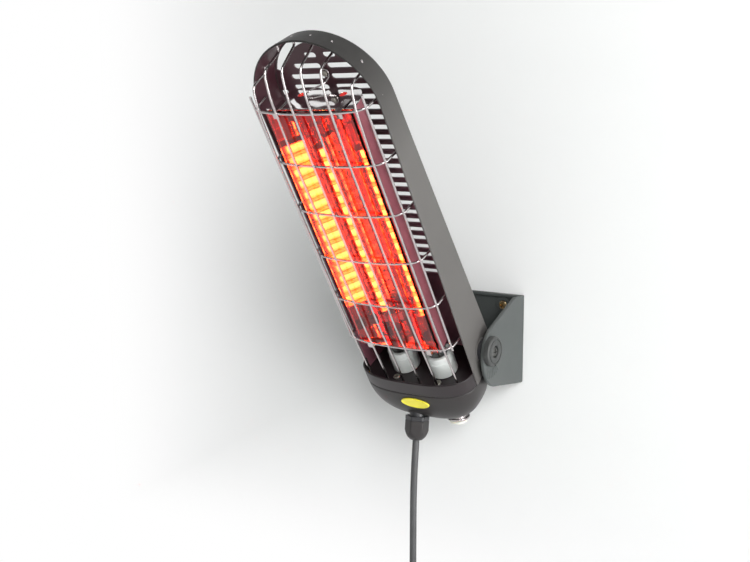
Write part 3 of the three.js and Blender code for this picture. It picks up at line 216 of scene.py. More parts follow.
class HeaterCordSizes(bpy.types.PropertyGroup):
    """The mains cord, hung as a hank under the heater."""

    radius: distance("Radius", 0.0035, "Radius of the cord")
    end: distance("Hank top", -0.238, "Where the free cord ends and the hank begins")
    loops: IntProperty(name="Loops", default=4, min=1, description="Loops of the hank")
    run: distance("Run", 0.105, "Straight length of a loop")
    fold: distance("Fold", 0.021, "Radius of a fold")
    draw_in: distance("Waist", 0.017, "How far the tie draws each run in")
    pitch: distance("Pitch", 0.0077, "From one loop to the next")
    lead: distance("Lead", 0.024, "From the free cord to the first loop")
    tail: distance("Tail fold", 0.022, "Radius of the last fold")
    pin: distance("Plug pin", 0.0024, "Radius of a plug pin")
    pin_x: distance("Pin spacing", 0.0095, "Half the distance between the plug's pins")


class HeaterFinishes(bpy.types.PropertyGroup):
    """Colours of the finishes, and the lamps' glow."""

    shell: colour("Shell paint", (0.100, 0.095, 0.091), "Paint of the body")
    # painted light: the inside's maroon stands for the lamps' red light falling on it, with painted shade
    # towards the top
    lining: colour("Shell inside", (0.240, 0.090, 0.120), "Inside of the body, toned by heat")
    plastic: colour("Moulded plastic", (0.034, 0.031, 0.031), "Bowl and gland nut")
    collar: colour("Tray", (0.016, 0.011, 0.0125), "Tray and its collar, darker than the bowl")
    bracket: colour("Bracket", (0.060, 0.067, 0.065), "Wall bracket")
    cap: colour("Pivot caps", (0.040, 0.042, 0.041), "Round caps over the pivots")
    chrome: colour("Bright wire", (0.56, 0.52, 0.52), "Guard and small bright parts")
    mirror: colour("Reflector", (0.86, 0.84, 0.84), "Polished sheet")
    # painted reflection: the trough's outside is tinted maroon for the lamps' red light that it catches
    flank: colour("Trough outside", (0.65, 0.22, 0.27), "Outside of the reflector, toned by heat")
    ruby: colour("Filter glass", (0.93, 0.075, 0.070), "Tint of the filter glass")
    ceramic: colour("Ceramic", (0.68, 0.71, 0.69), "Lamp sockets")
    badge: colour("Badge", (0.88, 0.78, 0.05), "Bare oval plate")
    black: colour("Black plastic", (0.022, 0.022, 0.025), "Gland body, tie, plug and washers")
    boot: colour("Switch boot", (0.74, 0.72, 0.66), "Soft cover of the switch")
    rubber: colour("Cord", (0.055, 0.056, 0.058), "Sheath of the cord")
    blued: colour("Blued screws", (0.15, 0.15, 0.145), "Screws of the pivots")
    zinc: colour("Zinc", (0.46, 0.44, 0.39), "Plain screws, nuts, straps and pins")
    brass: colour("Brass", (0.74, 0.55, 0.30), "Wall screws")
    sleeve: colour("Sleeve", (0.16, 0.07, 0.035), "Heat-proof sleeve of the inner leads")
    quartz: colour("Quartz", (0.97, 0.97, 0.97), "Tubes of the lamps")
    hot: colour("Filament", (0.9, 0.6, 0.3), "The filaments themselves, under their light")
    glow: colour("Glow", (1.0, 0.34, 0.022), "Light of the filaments near their supports")
    glow_core: colour("Glow core", (1.0, 0.60, 0.15), "Light of the filaments midway along a coil")
    glow_strength: plain("Glow strength", 85.0, "Brightness of the filaments")


class HeaterStudio(bpy.types.PropertyGroup):
    """Camera, wall and lights."""

    target: triple("Target", (-0.11035, 0.0, 0.04413), "Point looked at")
    azimuth: angle("Azimuth", 33.99, "Camera round the heater")
    elevation: angle("Elevation", 8.57, "Camera over the horizon")
    camera_distance: distance("Distance", 1.2003, "From the camera to its target")
    lens: plain("Lens", 52.14, "Focal length in millimetres on a 36 mm sensor")
    wall: colour("Wall", (0.78, 0.79, 0.785), "Wall and floor")
    key: plain("Key light", 49.0, "Power of the soft light at the right and front, in watts")
    side: plain("Side light", 61.0, "Power of the wide light at the far right, in watts")
    sky: plain("Room light", 0.54, "Light of the room at eye level; less comes from above and below")


def sizes():
    """The property groups by short name."""
    scene = bpy.context.scene
    return {name: getattr(scene, "heater_" + name) for name in PROPERTY_GROUPS}


# ---- Frames ----


def head_to_world(points):
    """Points (x, u, w) of the tilted head as points of the wall's frame: (x, u, w) stands for the
    vector (x, -w, u), which is turned about X by the tilt and moved to the pivots."""
    head = bpy.context.scene.heater_head
    points = np.asarray(points, float)
    s, c = math.sin(head.tilt), math.cos(head.tilt)
    x, u, w = points[..., 0], points[..., 1], points[..., 2]
    return np.stack([x, -head.reach - s * u - c * w, c * u - s * w], -1)


def world_to_head(points, head, placed=1):
    """The way back: points, or directions when `placed` is 0, as (x, u, w) of the head."""
    s, c = math.sin(head.tilt), math.cos(head.tilt)
    y, z = points[:, 1] + placed * head.reach, points[:, 2]
    return np.stack([points[:, 0], c * z - s * y, -c * y - s * z], -1)


def head_centres_and_normals(mesh, head):
    """The centres (x, u, w) and normals (nx, nu, nw) of a mesh's faces in the head's frame."""
    centre, normal = np.zeros((2, len(mesh.polygons) * 3))
    mesh.polygons.foreach_get("center", centre)
    mesh.polygons.foreach_get("normal", normal)
    centre, normal = centre.reshape(-1, 3), normal.reshape(-1, 3)
    return [*world_to_head(centre, head).T, *world_to_head(normal, head, placed=0).T]


def unit(vectors):
    """One vector, or each of several, made one long."""
    vectors = np.asarray(vectors, float)
    return vectors / np.linalg.norm(vectors, axis=-1, keepdims=True)


def head_direction(x, u, w):
    """A direction of the head in the wall's frame."""
    return unit(head_to_world((x, u, w)) - head_to_world((0, 0, 0)))


# ---- Surfaces ----


def grid_faces(rows, cols, wrap_rows=False, wrap_cols=False):
    """Quads between neighbouring points of a grid, which may close on itself either way."""
    i = np.arange(rows if wrap_rows else rows - 1)
    j = np.arange(cols if wrap_cols else cols - 1)
    i, j = np.meshgrid(i, j, indexing="ij")
    down, right = (i + 1) % rows, (j + 1) % cols
    corners = [i * cols + j, i * cols + right, down * cols + right, down * cols + j]
    return np.stack(corners, -1).reshape(-1, 4)


class Skin:
    """Gathers closed surfaces into the mesh of one piece."""

    def __init__(self):
        self.points, self.faces, self.count = [], [], 0

    def add(self, points, faces):
        points = np.asarray(points, float).reshape(-1, 3)
        self.faces += [[int(k) + self.count for k in face] for face in faces]
        self.points.append(points)
        self.count += len(points)
        return self

    def grid(self, points, wrap_rows=False, wrap_cols=True, caps=True):
        """A grid of points as a surface; with caps, its first and last row are closed."""
        rows, cols = points.shape[:2]
        faces = grid_faces(rows, cols, wrap_rows, wrap_cols).tolist()
        if caps:
            faces += [list(range(cols))[::-1], list(range((rows - 1) * cols, rows * cols))]
        return self.add(points, faces)

    def turn(self, profile, place, axis, sides, shape=None, ring=False):
        """A lathed profile that ends on the axis, or a ring's profile that closes on itself."""
        return self.grid(lathe(profile, place, axis, sides, shape), wrap_rows=ring, caps=not ring)

    def wire(self, path, radius, reference, sides):
        """A round wire along a path of the head."""
        return self.grid(tube(head_to_world(path), radius, reference, sides))

    def piece(self, name, smooth=35.0, flat=False):
        """The mesh object: doubles merged, faces outward, sharp only where it turns past `smooth`.
        A flat one is shaded by its large faces, so that rounded edges don't bend them."""
        mesh = bpy.data.meshes.new(name)
        mesh.from_pydata(np.concatenate(self.points).tolist(), [], self.faces)
        merged = bmesh.new()
        merged.from_mesh(mesh)
        bmesh.ops.remove_doubles(merged, verts=merged.verts, dist=2e-6)
        bmesh.ops.recalc_face_normals(merged, faces=merged.faces)
        merged.to_mesh(mesh)
        merged.free()
        mesh.shade_smooth()
        mesh.set_sharp_from_angle(angle=math.radians(smooth))
        made = bpy.data.objects.new(name, mesh)
        bpy.context.scene.collection.objects.link(made)
        if flat:
            weighted = made.modifiers.new("large faces stay flat", "WEIGHTED_NORMAL")
            weighted.keep_sharp = True
            weighted.weight = 100
        return made


def frame_across(axis):
    """Two unit vectors square to an axis and to each other."""
    axis = unit(axis)
    helper = (1, 0, 0) if abs(axis[0]) < 0.7 else (0, 0, 1)
    first = unit(np.cross(axis, helper))
    return first, np.cross(axis, first)


def bezier(p0, p1, p2, p3, count):
    """Points of the cubic Bezier (1-t)^3 p0 + 3 t (1-t)^2 p1 + 3 t^2 (1-t) p2 + t^3 p3."""
    p0, p1, p2, p3 = (np.asarray(p, float) for p in (p0, p1, p2, p3))
    t = np.linspace(0, 1, count)[:, None]
    return (1 - t) ** 3 * p0 + 3 * t * (1 - t) ** 2 * p1 + 3 * t**2 * (1 - t) * p2 + t**3 * p3


def rounded(corners, radius, steps=4):
    """A path whose corners are replaced by quadratic Bezier arcs of about `radius`."""
    corners = [np.asarray(c, float) for c in corners]
    path = [corners[0]]
    t = np.linspace(0, 1, steps + 1)[:, None]
    for before, corner, after in zip(corners, corners[1:], corners[2:]):
        back, on = before - corner, after - corner
        reach = min(radius, 0.45 * np.linalg.norm(back), 0.45 * np.linalg.norm(on))
        start = corner + unit(back) * reach
        end = corner + unit(on) * reach
        path += list((1 - t) ** 2 * start + 2 * t * (1 - t) * corner + t**2 * end)
    path.append(corners[-1])
    return np.array(path)


def rod(radius, low, high, bore=0.0):
    """The profile of a plain cylinder, or of a ring round a bore, between two heights."""
    return [(bore, low), (radius, low), (radius, high), (bore, high)]


def lathe(profile, place, axis, sides, shape=None):
    """Rows of a profile (radius, height) turned about an axis: place + height * axis
    + radius * (cos a * e1 + sin a * e2). `shape` may change the radius by angle and height."""
    profile, axis = np.asarray(profile, float), unit(axis)
    e1, e2 = frame_across(axis)
    angle = np.arange(sides) * TURN / sides
    radius = np.repeat(profile[:, :1], sides, 1)
    height = np.repeat(profile[:, 1:2], sides, 1)
    if shape:
        radius, height = shape(radius, height, angle[None, :])
    around = np.cos(angle)[:, None] * e1 + np.sin(angle)[:, None] * e2
    return np.asarray(place) + height[..., None] * axis + radius[..., None] * around[None]


def tube(path, radius, reference, sides):
    """A round tube along a path: each ring lies across the path's tangent, with its first spoke
    square to the tangent and to one reference direction that the path never follows."""
    path = np.asarray(path, float)
    tangent = unit(np.gradient(path, axis=0))
    first = unit(np.cross(tangent, reference))
    second = np.cross(tangent, first)
    angle = (np.arange(sides) * TURN / sides)[None, :, None]
    spokes = np.cos(angle) * first[:, None] + np.sin(angle) * second[:, None]
    return path[:, None] + radius * spokes


def flowing(points, steps):
    """A smooth curve through points: Catmull-Rom cubics, `steps` of them to each interval."""
    points = np.asarray(points, float)
    padded = np.concatenate([2 * points[:1] - points[1:2], points, 2 * points[-1:] - points[-2:-1]])
    t = np.linspace(0, 1, steps, endpoint=False)[None, :, None]
    a, b, c, d = (padded[k : len(padded) - 3 + k, None] for k in range(4))
    curve = 0.5 * (2 * b + (c - a) * t + (2 * a - 5 * b + 4 * c - d) * t**2 + (3 * b - a - 3 * c + d) * t**3)
    return np.concatenate([curve.reshape(-1, 3), points[-1:]])


def plate(outlines, thickness, edge):
    """A flat plate inside its first outline, holed by the others, its edges rounded by `edge`:
    rows of coordinates (a, b, height about the middle) and faces."""
    curve = bpy.data.curves.new("plate outline", "CURVE")
    curve.dimensions = "2D"
    curve.fill_mode = "BOTH"
    curve.extrude = thickness / 2 - edge
    curve.bevel_depth = edge
    curve.bevel_resolution = 2
    curve.offset = -edge
    for outline in outlines:
        spline = curve.splines.new("POLY")
        spline.points.add(len(outline) - 1)
        corners = np.zeros((len(outline), 4))
        corners[:, :2] = outline
        corners[:, 3] = 1
        spline.points.foreach_set("co", corners.ravel())
        spline.use_cyclic_u = True
    made = bpy.data.objects.new("plate outline", curve)
    bpy.context.scene.collection.objects.link(made)
    bpy.context.view_layer.update()
    mesh = made.evaluated_get(bpy.context.evaluated_depsgraph_get()).to_mesh()
    points = np.zeros(len(mesh.vertices) * 3)
    mesh.vertices.foreach_get("co", points)
    faces = [list(polygon.vertices) for polygon in mesh.polygons]
    bpy.data.objects.remove(made)
    bpy.data.curves.remove(curve)
    return points.reshape(-1, 3).T, faces


def arc(x, y, radius, angle):
    """Points of a circle at given angles."""
    return np.stack([x + radius * np.cos(angle), y + radius * np.sin(angle)], -1)


def circle(x, y, radius, count):
    """Points of a whole circle."""
    return arc(x, y, radius, np.arange(count) * TURN / count)


def stadium(x0, x1, y, height, count=7):
    """A slot with round ends: two half circles of `count` points."""
    r = height / 2
    angle = np.linspace(-math.pi / 2, math.pi / 2, count)
    return np.concatenate([arc(x1 - r, y, r, angle), arc(x0 + r, y, -r, angle)])


def rounded_box(x0, x1, y0, y1, radius, steps=4):
    """A rectangle with rounded corners: a quarter circle at each, from the upper right on."""
    middles = [(x1 - radius, y1 - radius), (x0 + radius, y1 - radius)]
    middles += [(x0 + radius, y0 + radius), (x1 - radius, y0 + radius)]
    corners = []
    for k, (x, y) in enumerate(middles):
        angle = np.linspace(0, math.pi / 2, steps + 1) + k * math.pi / 2
        corners.append(arc(x, y, radius, angle))
    return np.concatenate(corners)


def screw_head(skin, place, axis, radius, height, cross=True):
    """A pan head over its seat: a polar grid whose height is a dome, sunk where the driver goes.
    The sink is a straight ramp of the distance from the arms of the cross or slot."""
    axis = unit(axis)
    e1, e2 = frame_across(axis)
    rho = np.concatenate([np.linspace(0, 0.94, 22), [0.985, 1.0, 1.0]])[::-1]
    angle = np.arange(64) * TURN / 64
    rho, angle = np.meshgrid(rho, angle, indexing="ij")
    x, y = rho * np.cos(angle), rho * np.sin(angle)
    up = height * (0.55 + 0.45 * np.sqrt(np.clip(1 - rho**2, 0, 1)))
    arm = np.minimum(np.abs(x), np.abs(y)) if cross else np.abs(y)
    half_wide, long, side_ramp, end_ramp = 0.15, 0.62, 0.05, 0.08  # in radii of the head
    sink = np.clip((half_wide - arm) / side_ramp, 0, 1) * np.clip((long - rho) / end_ramp, 0, 1)
    up = up - 0.5 * height * sink
    up[0] = 0
    points = np.asarray(place) + radius * (x[..., None] * e1 + y[..., None] * e2) + up[..., None] * axis
    faces = grid_faces(*rho.shape, wrap_cols=True).tolist() + [list(range(64))]
    return skin.add(points, faces)


def place_piece(piece, body, finish, slot, *nodes):
    """Gives a piece its finish and its body, and hides the model's nodes that it stands for. The slot is not
    used.
    """
    piece.data.materials.append(finish)
    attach(piece, body)
    if nodes:
        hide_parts(*nodes)
    return piece


# ---- Finishes ----


def shader_group(name, inputs, outputs):
    """A new shader node group: the group, the sockets that it is given and those that it fills.
    Inputs come by name with their default, outputs by name with their kind."""
    group = bpy.data.node_groups.new(name, "ShaderNodeTree")
    new_socket = group.interface.new_socket
    for label, default in inputs.items():
        kind = "NodeSocketColor" if isinstance(default, tuple) else "NodeSocketFloat"
        new_socket(name=label, in_out="INPUT", socket_type=kind).default_value = default
    for label, kind in outputs.items():
        new_socket(name=label, in_out="OUTPUT", socket_type="NodeSocket" + kind)
    return group, group.nodes.new("NodeGroupInput").outputs, group.nodes.new("NodeGroupOutput").inputs


def node(tree, kind, **settings):
    """A node with its settings."""
    made = tree.nodes.new("ShaderNode" + kind)
    for key, value in settings.items():
        setattr(made, key, value)
    return made


def feed(tree, socket, value):
    """Links a socket to another socket, or gives it a plain value."""
    if isinstance(value, bpy.types.NodeSocket):
        tree.links.new(value, socket)
    else:
        socket.default_value = value


def object_place(tree):
    """The Object coordinates."""
    return node(tree, "TexCoord").outputs["Object"]


def along_head(tree):
    """How far a point lies along the tilted head, by Object coordinates."""
    along = node(tree, "VectorMath", operation="DOT_PRODUCT")
    feed(tree, along.inputs[0], object_place(tree))
    feed(tree, along.inputs[1], head_direction(0, 1, 0))
    return along.outputs["Value"]


def parts(tree, vector):
    """The X, Y and Z of a vector as sockets by name."""
    made = node(tree, "SeparateXYZ")
    feed(tree, made.inputs["Vector"], vector)
    return made.outputs


def noise(tree, scale, detail, vector):
    """A noise texture's value; the scale may be a number or a socket."""
    made = node(tree, "TexNoise")
    for key, value in (("Scale", scale), ("Detail", detail), ("Vector", vector)):
        feed(tree, made.inputs[key], value)
    return made.outputs["Fac"]


def spread(tree, value, low, high, to_low=0.0, to_high=1.0):
    """Maps a value from one range to another; every limit may be a number or a socket."""
    made = node(tree, "MapRange")
    limits = {"Value": value, "From Min": low, "From Max": high, "To Min": to_low, "To Max": to_high}
    for key, limit in limits.items():
        feed(tree, made.inputs[key], limit)
    return made.outputs["Result"]


def reckon(tree, operation, first, second):
    """A Math node's value; both sides may be numbers or sockets."""
    made = node(tree, "Math", operation=operation)
    feed(tree, made.inputs[0], first)
    feed(tree, made.inputs[1], second)
    return made.outputs[0]


def blend_colours(tree, factor, first, second):
    """Mixes two colours by a factor; each may be a colour or a socket."""
    made = node(tree, "Mix", data_type="RGBA")
    feed(tree, made.inputs["Factor"], factor)
    colours = [socket for socket in made.inputs if socket.type == "RGBA"]
    for socket, value in zip(colours, (first, second)):
        feed(tree, socket, value)
    return [socket for socket in made.outputs if socket.type == "RGBA"][0]


def blend_shaders(tree, factor, first, second):
    """Mixes two shaders by a factor."""
    made = node(tree, "MixShader")
    for socket, value in zip(made.inputs, (factor, first, second)):
        feed(tree, socket, value)
    return made.outputs["Shader"]


def surface_group():
    """Cloudy change of colour and roughness, and a fine grain, on Object coordinates."""
    known = bpy.data.node_groups.get("cloud and grain")
    if known:
        return known
    inputs = {"Colour": (0.5, 0.5, 0.5, 1), "Second Colour": (0.4, 0.4, 0.4, 1)}
    inputs |= {"Cloud Scale": 20.0, "Grain Scale": 900.0, "Low Roughness": 0.3, "High Roughness": 0.5}
    outputs = {"Colour": "Color", "Roughness": "Float", "Height": "Float"}
    group, given, out = shader_group("cloud and grain", inputs, outputs)
    place = object_place(group)
    cloud = noise(group, given["Cloud Scale"], 5.0, place)
    share = spread(group, cloud, 0.35, 0.65)
    feed(group, out["Colour"], blend_colours(group, share, given["Colour"], given["Second Colour"]))
    rough = spread(group, cloud, 0.3, 0.7, given["Low Roughness"], given["High Roughness"])
    feed(group, out["Roughness"], rough)
    feed(group, out["Height"], noise(group, given["Grain Scale"], 2.0, place))
    return group


def dust_group():
    """Pale dust that settles, in patches, where a surface faces up."""
    known = bpy.data.node_groups.get("settled dust")
    if known:
        return known
    inputs = {"Colour": (0.5, 0.5, 0.5, 1), "Dust Colour": (0.42, 0.41, 0.39, 1), "Amount": 0.2}
    group, given, out = shader_group("settled dust", inputs, {"Colour": "Color"})
    facing = parts(group, node(group, "NewGeometry").outputs["Normal"])
    upward = spread(group, facing["Z"], 0.2, 1.0)
    patches = spread(group, noise(group, 60.0, 6.0, object_place(group)), 0.35, 0.7)
    amount = reckon(group, "MULTIPLY", reckon(group, "MULTIPLY", upward, patches), given["Amount"])
    feed(group, out["Colour"], blend_colours(group, amount, given["Colour"], given["Dust Colour"]))
    return group


def wave_group():
    """Slow waves of a rolled sheet, drawn out along the head, as a height."""
    known = bpy.data.node_groups.get("rolled sheet")
    if known:
        return known
    inputs = {"Scale": 30.0, "Stretch": 0.3}
    group, given, out = shader_group("rolled sheet", inputs, {"Height": "Float"})
    turned = node(group, "Mapping")
    feed(group, turned.inputs["Vector"], object_place(group))
    feed(group, turned.inputs["Rotation"], (-bpy.context.scene.heater_head.tilt, 0, 0))
    drawn = node(group, "CombineXYZ")
    for axis, factor in (("X", 1.0), ("Y", 1.0), ("Z", given["Stretch"])):
        feed(group, drawn.inputs[axis], factor)
    scaled = node(group, "VectorMath", operation="MULTIPLY")
    feed(group, scaled.inputs[0], turned.outputs["Vector"])
    feed(group, scaled.inputs[1], drawn.outputs["Vector"])
    feed(group, out["Height"], noise(group, given["Scale"], 1.5, scaled.outputs["Vector"]))
    return group


def painted_shade_group():
    """Painted shade: a share of darkening that rises along the tilted head, so that a colour grows darker
    towards the top.
    """
    known = bpy.data.node_groups.get("heat tone")
    if known:
        return known
    inputs = {"Low": 0.2, "High": 0.4, "Share": 0.5}
    group, given, out = shader_group("heat tone", inputs, {"Mask": "Float"})
    painted_shade_mask = spread(group, along_head(group), given["Low"], given["High"], 0.0, given["Share"])
    feed(group, out["Mask"], painted_shade_mask)
    return group


def use_group(tree, group, **values):
    """The outputs of a node group that is fed by name; words of a name are joined by underscores."""
    made = tree.nodes.new("ShaderNodeGroup")
    made.node_tree = group
    for key, value in values.items():
        feed(tree, made.inputs[key.replace("_", " ")], value)
    return made.outputs


def rgba(colour_value, factor=1.0):
    """A colour with its alpha, made darker or paler by a factor."""
    return tuple(min(1.0, channel * factor) for channel in colour_value) + (1.0,)


def finish(
    name,
    base,
    second=0.85,
    rough=(0.35, 0.5),
    cloud=18.0,
    grain=900.0,
    bump=0.00003,
    dust=0.0,
    waves=None,
    tone=None,
    **shader,
):
    """A material: clouded colour and roughness, grain or waves as bump, painted shade that darkens it up the
    head and dust laid over these, and the shader's own plain sockets. Waves are (scale, stretch, height),
    and the painted shade is (where it begins along the head, where it is full, its share)."""
    known = bpy.data.materials.get(name)
    if known:
        return known
    made = bpy.data.materials.new(name)
    made.use_nodes = True
    tree = made.node_tree
    clouded = {"Colour": rgba(base), "Second_Colour": rgba(base, second), "Cloud_Scale": cloud}
    clouded |= {"Grain_Scale": grain, "Low_Roughness": rough[0], "High_Roughness": rough[1]}
    surface = use_group(tree, surface_group(), **clouded)
    shown, height = surface["Colour"], surface["Height"]
    if tone:
        painted_shade_mask = use_group(tree, painted_shade_group(), Low=tone[0], High=tone[1], Share=tone[2])["Mask"]
        # painted shade: the colour is darkened towards the top of the head
        shown = blend_colours(tree, painted_shade_mask, shown, rgba(base, 0.15))
    if dust:
        shown = use_group(tree, dust_group(), Colour=shown, Amount=dust)["Colour"]
    if waves:
        height = use_group(tree, wave_group(), Scale=waves[0], Stretch=waves[1])["Height"]
        bump = waves[2]
    relief = node(tree, "Bump")
    for key, value in (("Height", height), ("Distance", bump), ("Strength", 1.0)):
        feed(tree, relief.inputs[key], value)
    principled = tree.nodes["Principled BSDF"].inputs
    shader |= {"Base_Color": shown, "Roughness": surface["Roughness"], "Normal": relief.outputs["Normal"]}
    for key, value in shader.items():
        feed(tree, principled[key.replace("_", " ")], value)
    return made


def finishes():
    """Every finish of the heater by its name."""
    look = bpy.context.scene.heater_finishes
    rows = {  # name, colour, share of it in the clouds, roughness, clouds, grain, bump
        "shell": ("painted_shell", look.shell, 0.93, (0.38, 0.48), 9.0, 1400.0, 0.00002),
        "lining": ("shell_lining", look.lining, 0.8, (0.30, 0.42), 12.0, 1200.0, 0.00002),
        "bracket": ("bracket_paint", look.bracket, 0.92, (0.42, 0.55), 14.0, 1100.0, 0.00004),
        "cap": ("cap_paint", look.cap, 0.9, (0.42, 0.55), 20.0, 1100.0, 0.00003),
        "plastic": ("charcoal_plastic", look.plastic, 0.88, (0.34, 0.46), 16.0, 1200.0, 0.00003),
        "collar": ("tray_plastic", look.collar, 0.8, (0.36, 0.48), 16.0, 1200.0, 0.00003),
        "blued": ("blued_screw", look.blued, 0.7, (0.26, 0.40), 120.0, 1500.0),
        "chrome": ("chromed_wire", look.chrome, 0.85, (0.14, 0.28), 70.0, 1500.0, 0.00001),
        "zinc": ("zinc_plating", look.zinc, 0.8, (0.28, 0.42), 120.0, 1500.0),
        "brass": ("screw_brass", look.brass, 0.8, (0.22, 0.34), 220.0, 1500.0),
        "mirror": ("mirror_sheet", look.mirror, 0.94, (0.05, 0.10), 30.0),
        "flank": ("toned_trough_back", look.flank, 0.85, (0.34, 0.46), 25.0),
        "ruby": ("ruby_filter", look.ruby, 0.9, (0.01, 0.03), 14.0),
        "quartz": ("clear_quartz", look.quartz, 0.98, (0.01, 0.03), 40.0, 900.0, 0.00001),
        "ceramic": ("glazed_ceramic", look.ceramic, 0.93, (0.30, 0.45), 40.0, 500.0, 0.00003),
        "badge": ("badge_yellow", look.badge, 0.9, (0.28, 0.38), 50.0, 700.0, 0.00002),
        "black": ("gland_black", look.black, 0.8, (0.30, 0.45), 30.0, 1000.0, 0.00003),
        "boot": ("boot_silicone", look.boot, 0.85, (0.30, 0.45), 90.0, 600.0, 0.00004),
        "sleeve": ("sleeve_brown", look.sleeve, 0.75, (0.4, 0.6), 200.0, 900.0),
        "rubber": ("cord_sheath", look.rubber, 0.9, (0.42, 0.55), 60.0, 1300.0, 0.00005),
    }
    extras = {
        # painted shade: the shell's arch is darkened towards its top, where less light falls; the lining is
        # darkened the same way
        "shell": {"dust": 0.02, "tone": (0.27, 0.37, 0.85), "Specular_IOR_Level": 0.15},
        "lining": {"tone": (0.20, 0.30, 0.85)},
        "bracket": {"dust": 0.10},
        "cap": {"dust": 0.06},
        "plastic": {"dust": 0.05, "Specular_IOR_Level": 0.25},
        "collar": {"dust": 0.03},
        "black": {"dust": 0.05},
        "mirror": {"waves": (50.0, 0.25, 0.00045)},
        "flank": {"waves": (50.0, 0.25, 0.0003), "Metallic": 0.7},
        "ruby": {"waves": (24.0, 0.6, 0.0003), "Transmission_Weight": 1.0, "IOR": 1.47},
        "quartz": {"Transmission_Weight": 1.0, "IOR": 1.46},
        "boot": {"Subsurface_Weight": 0.3},
    }
    for metal in ("blued", "chrome", "zinc", "brass", "mirror"):
        extras.setdefault(metal, {})["Metallic"] = 1.0
    return {key: finish(*row, **extras.get(key, {})) for key, row in rows.items()}


def glowing_finish():
    """The filaments' finish: a light that is palest midway along each coil and redder near the
    supports, which cool it, by the distance along the head in coils, folded back and forth."""
    scene = bpy.context.scene
    look, lamp, head = scene.heater_finishes, scene.heater_lamps, scene.heater_head
    made = finish("glowing_filament", look.hot, 0.9, (0.4, 0.5), 90.0)
    tree = made.node_tree
    start = lamp.lit_low + head.reach * math.sin(head.tilt)
    pitch = (lamp.lit_high - lamp.lit_low) / lamp.coils
    in_coils = spread(tree, along_head(tree), start, start + pitch)
    in_coils.node.clamp = False
    core = spread(tree, reckon(tree, "PINGPONG", in_coils, 0.5), 0.12, 0.42)
    shown = blend_colours(tree, core, rgba(look.glow), rgba(look.glow_core))
    principled = tree.nodes["Principled BSDF"]
    feed(tree, principled.inputs["Emission Color"], shown)
    feed(tree, principled.inputs["Emission Strength"], look.glow_strength)
    return made


# ---- Camera and cord first ----


class HEATER_OT_camera(bpy.types.Operator):
    """Places the camera at the photograph's angle."""

    bl_idname = "heater.camera"
    bl_label = "Camera"

    def execute(self, context):
        studio = context.scene.heater_studio
        round_about, up = studio.azimuth, studio.elevation
        level = math.cos(up)
        away = Vector((math.sin(round_about) * level, -math.cos(round_about) * level, math.sin(up)))
        data = bpy.data.cameras.new("studio_camera")
        data.lens = studio.lens
        data.sensor_width = 36.0
        data.clip_start = 0.05
        data.clip_end = 20.0
        camera = bpy.data.objects.new("studio_camera", data)
        camera.location = Vector(studio.target) + away * studio.camera_distance
        camera.rotation_euler = (-away).to_track_quat("-Z", "Y").to_euler()
        context.scene.collection.objects.link(camera)
        context.scene.camera = camera
        return {"FINISHED"}


def cord_route():
    """The free cord's points: along the gland's axis, then a Bezier that turns it down, then a
    plumb stretch to the hank."""
    seat, axis = head_to_world(GLAND_SEAT), head_direction(*GLAND_AXIS)
    through = [seat + axis * reach for reach in (0.008, 0.020, 0.031)]
    start = through[-1]
    forward, fall, stiff_above, stiff_below = 0.004, 0.075, 0.025, 0.028
    hang = np.array([seat[0], start[1] - forward, start[2] - fall])
    swing = bezier(start, start + axis * stiff_above, hang + (0, 0, stiff_below), hang, 7)[1:]
    drop = np.linspace(hang[2], bpy.context.scene.heater_cord.end, 5)[1:, None]
    plumb = np.concatenate([np.repeat(hang[None, :2], 4, 0), drop], 1)
    return np.concatenate([through, swing, plumb])


def hank_route():
    """The hank's points: flat loops behind each other, each a run down, a half-circle fold, a run
    up and a fold over, drawn in at the waist by (1 - cos)/2, then a last fold beside them."""
    c = bpy.context.scene.heater_cord
    start = cord_route()[-1]
    top = c.end - c.lead
    s = np.arange(1, 7) / 6
    waist = c.draw_in * (1 - np.cos(TURN * s)) / 2
    climb = (1 - np.cos(math.pi * s)) / 2

    def fold(x, y, z, r, first, last):
        angle = np.radians(first + (last - first) * s)
        return np.insert(arc(x, z, r, angle), 1, y, axis=1)

    rows = [np.array([[0, 0, 0.008], [0, 0, 0]])]
    for loop in range(c.loops):
        y = c.pitch * (loop + 1)
        rows.append(np.stack([waist, c.pitch * (loop + climb), -c.run * s], -1))
        rows.append(fold(c.fold, y, -c.run, c.fold, 180, 360))
        rows.append(np.stack([2 * c.fold - waist, np.full(6, y), -c.run * (1 - s)], -1))
        if loop + 1 < c.loops:
            rows.append(fold(c.fold, y, 0, c.fold, 0, 180))
        else:
            rows.append(fold(2 * c.fold + c.tail, y, 0, c.tail, 180, 0))
    rows.append(np.array([[2 * (c.fold + c.tail), c.pitch * c.loops, -0.009]]))
    return np.concatenate(rows) + np.array([start[0], start[1], top])


def plug_top():
    """Where the plug's neck begins, just under the cord's end."""
    return hank_route()[-1] - np.array([0, 0, GAP])


def plug_body_skin():
    """The plug: a turned body whose radius is cut back, with sloped ends, where each earth contact
    lies."""
    profile = [(0, 0), (0.005, 0), (0.0052, 0.004), (0.006, 0.012), (0.0145, 0.019), (0.018, 0.025)]
    profile += [(0.018, 0.0485), (0.0165, 0.05), (0, 0.05)]
    depth, from_height, wide_part = 0.0025, 0.0315, 0.0149

    def grooves(radius, height, angle):
        near = np.clip((0.26 - np.abs(np.abs(np.sin(angle)) - 1) * 8) / 0.06, 0, 1)
        low = np.clip((height - from_height) / 0.0006, 0, 1)
        return radius - depth * near * low * (radius > wide_part), height

    return Skin().turn(rounded(profile, 0.0022), plug_top(), (0, 0, -1), 96, grooves)


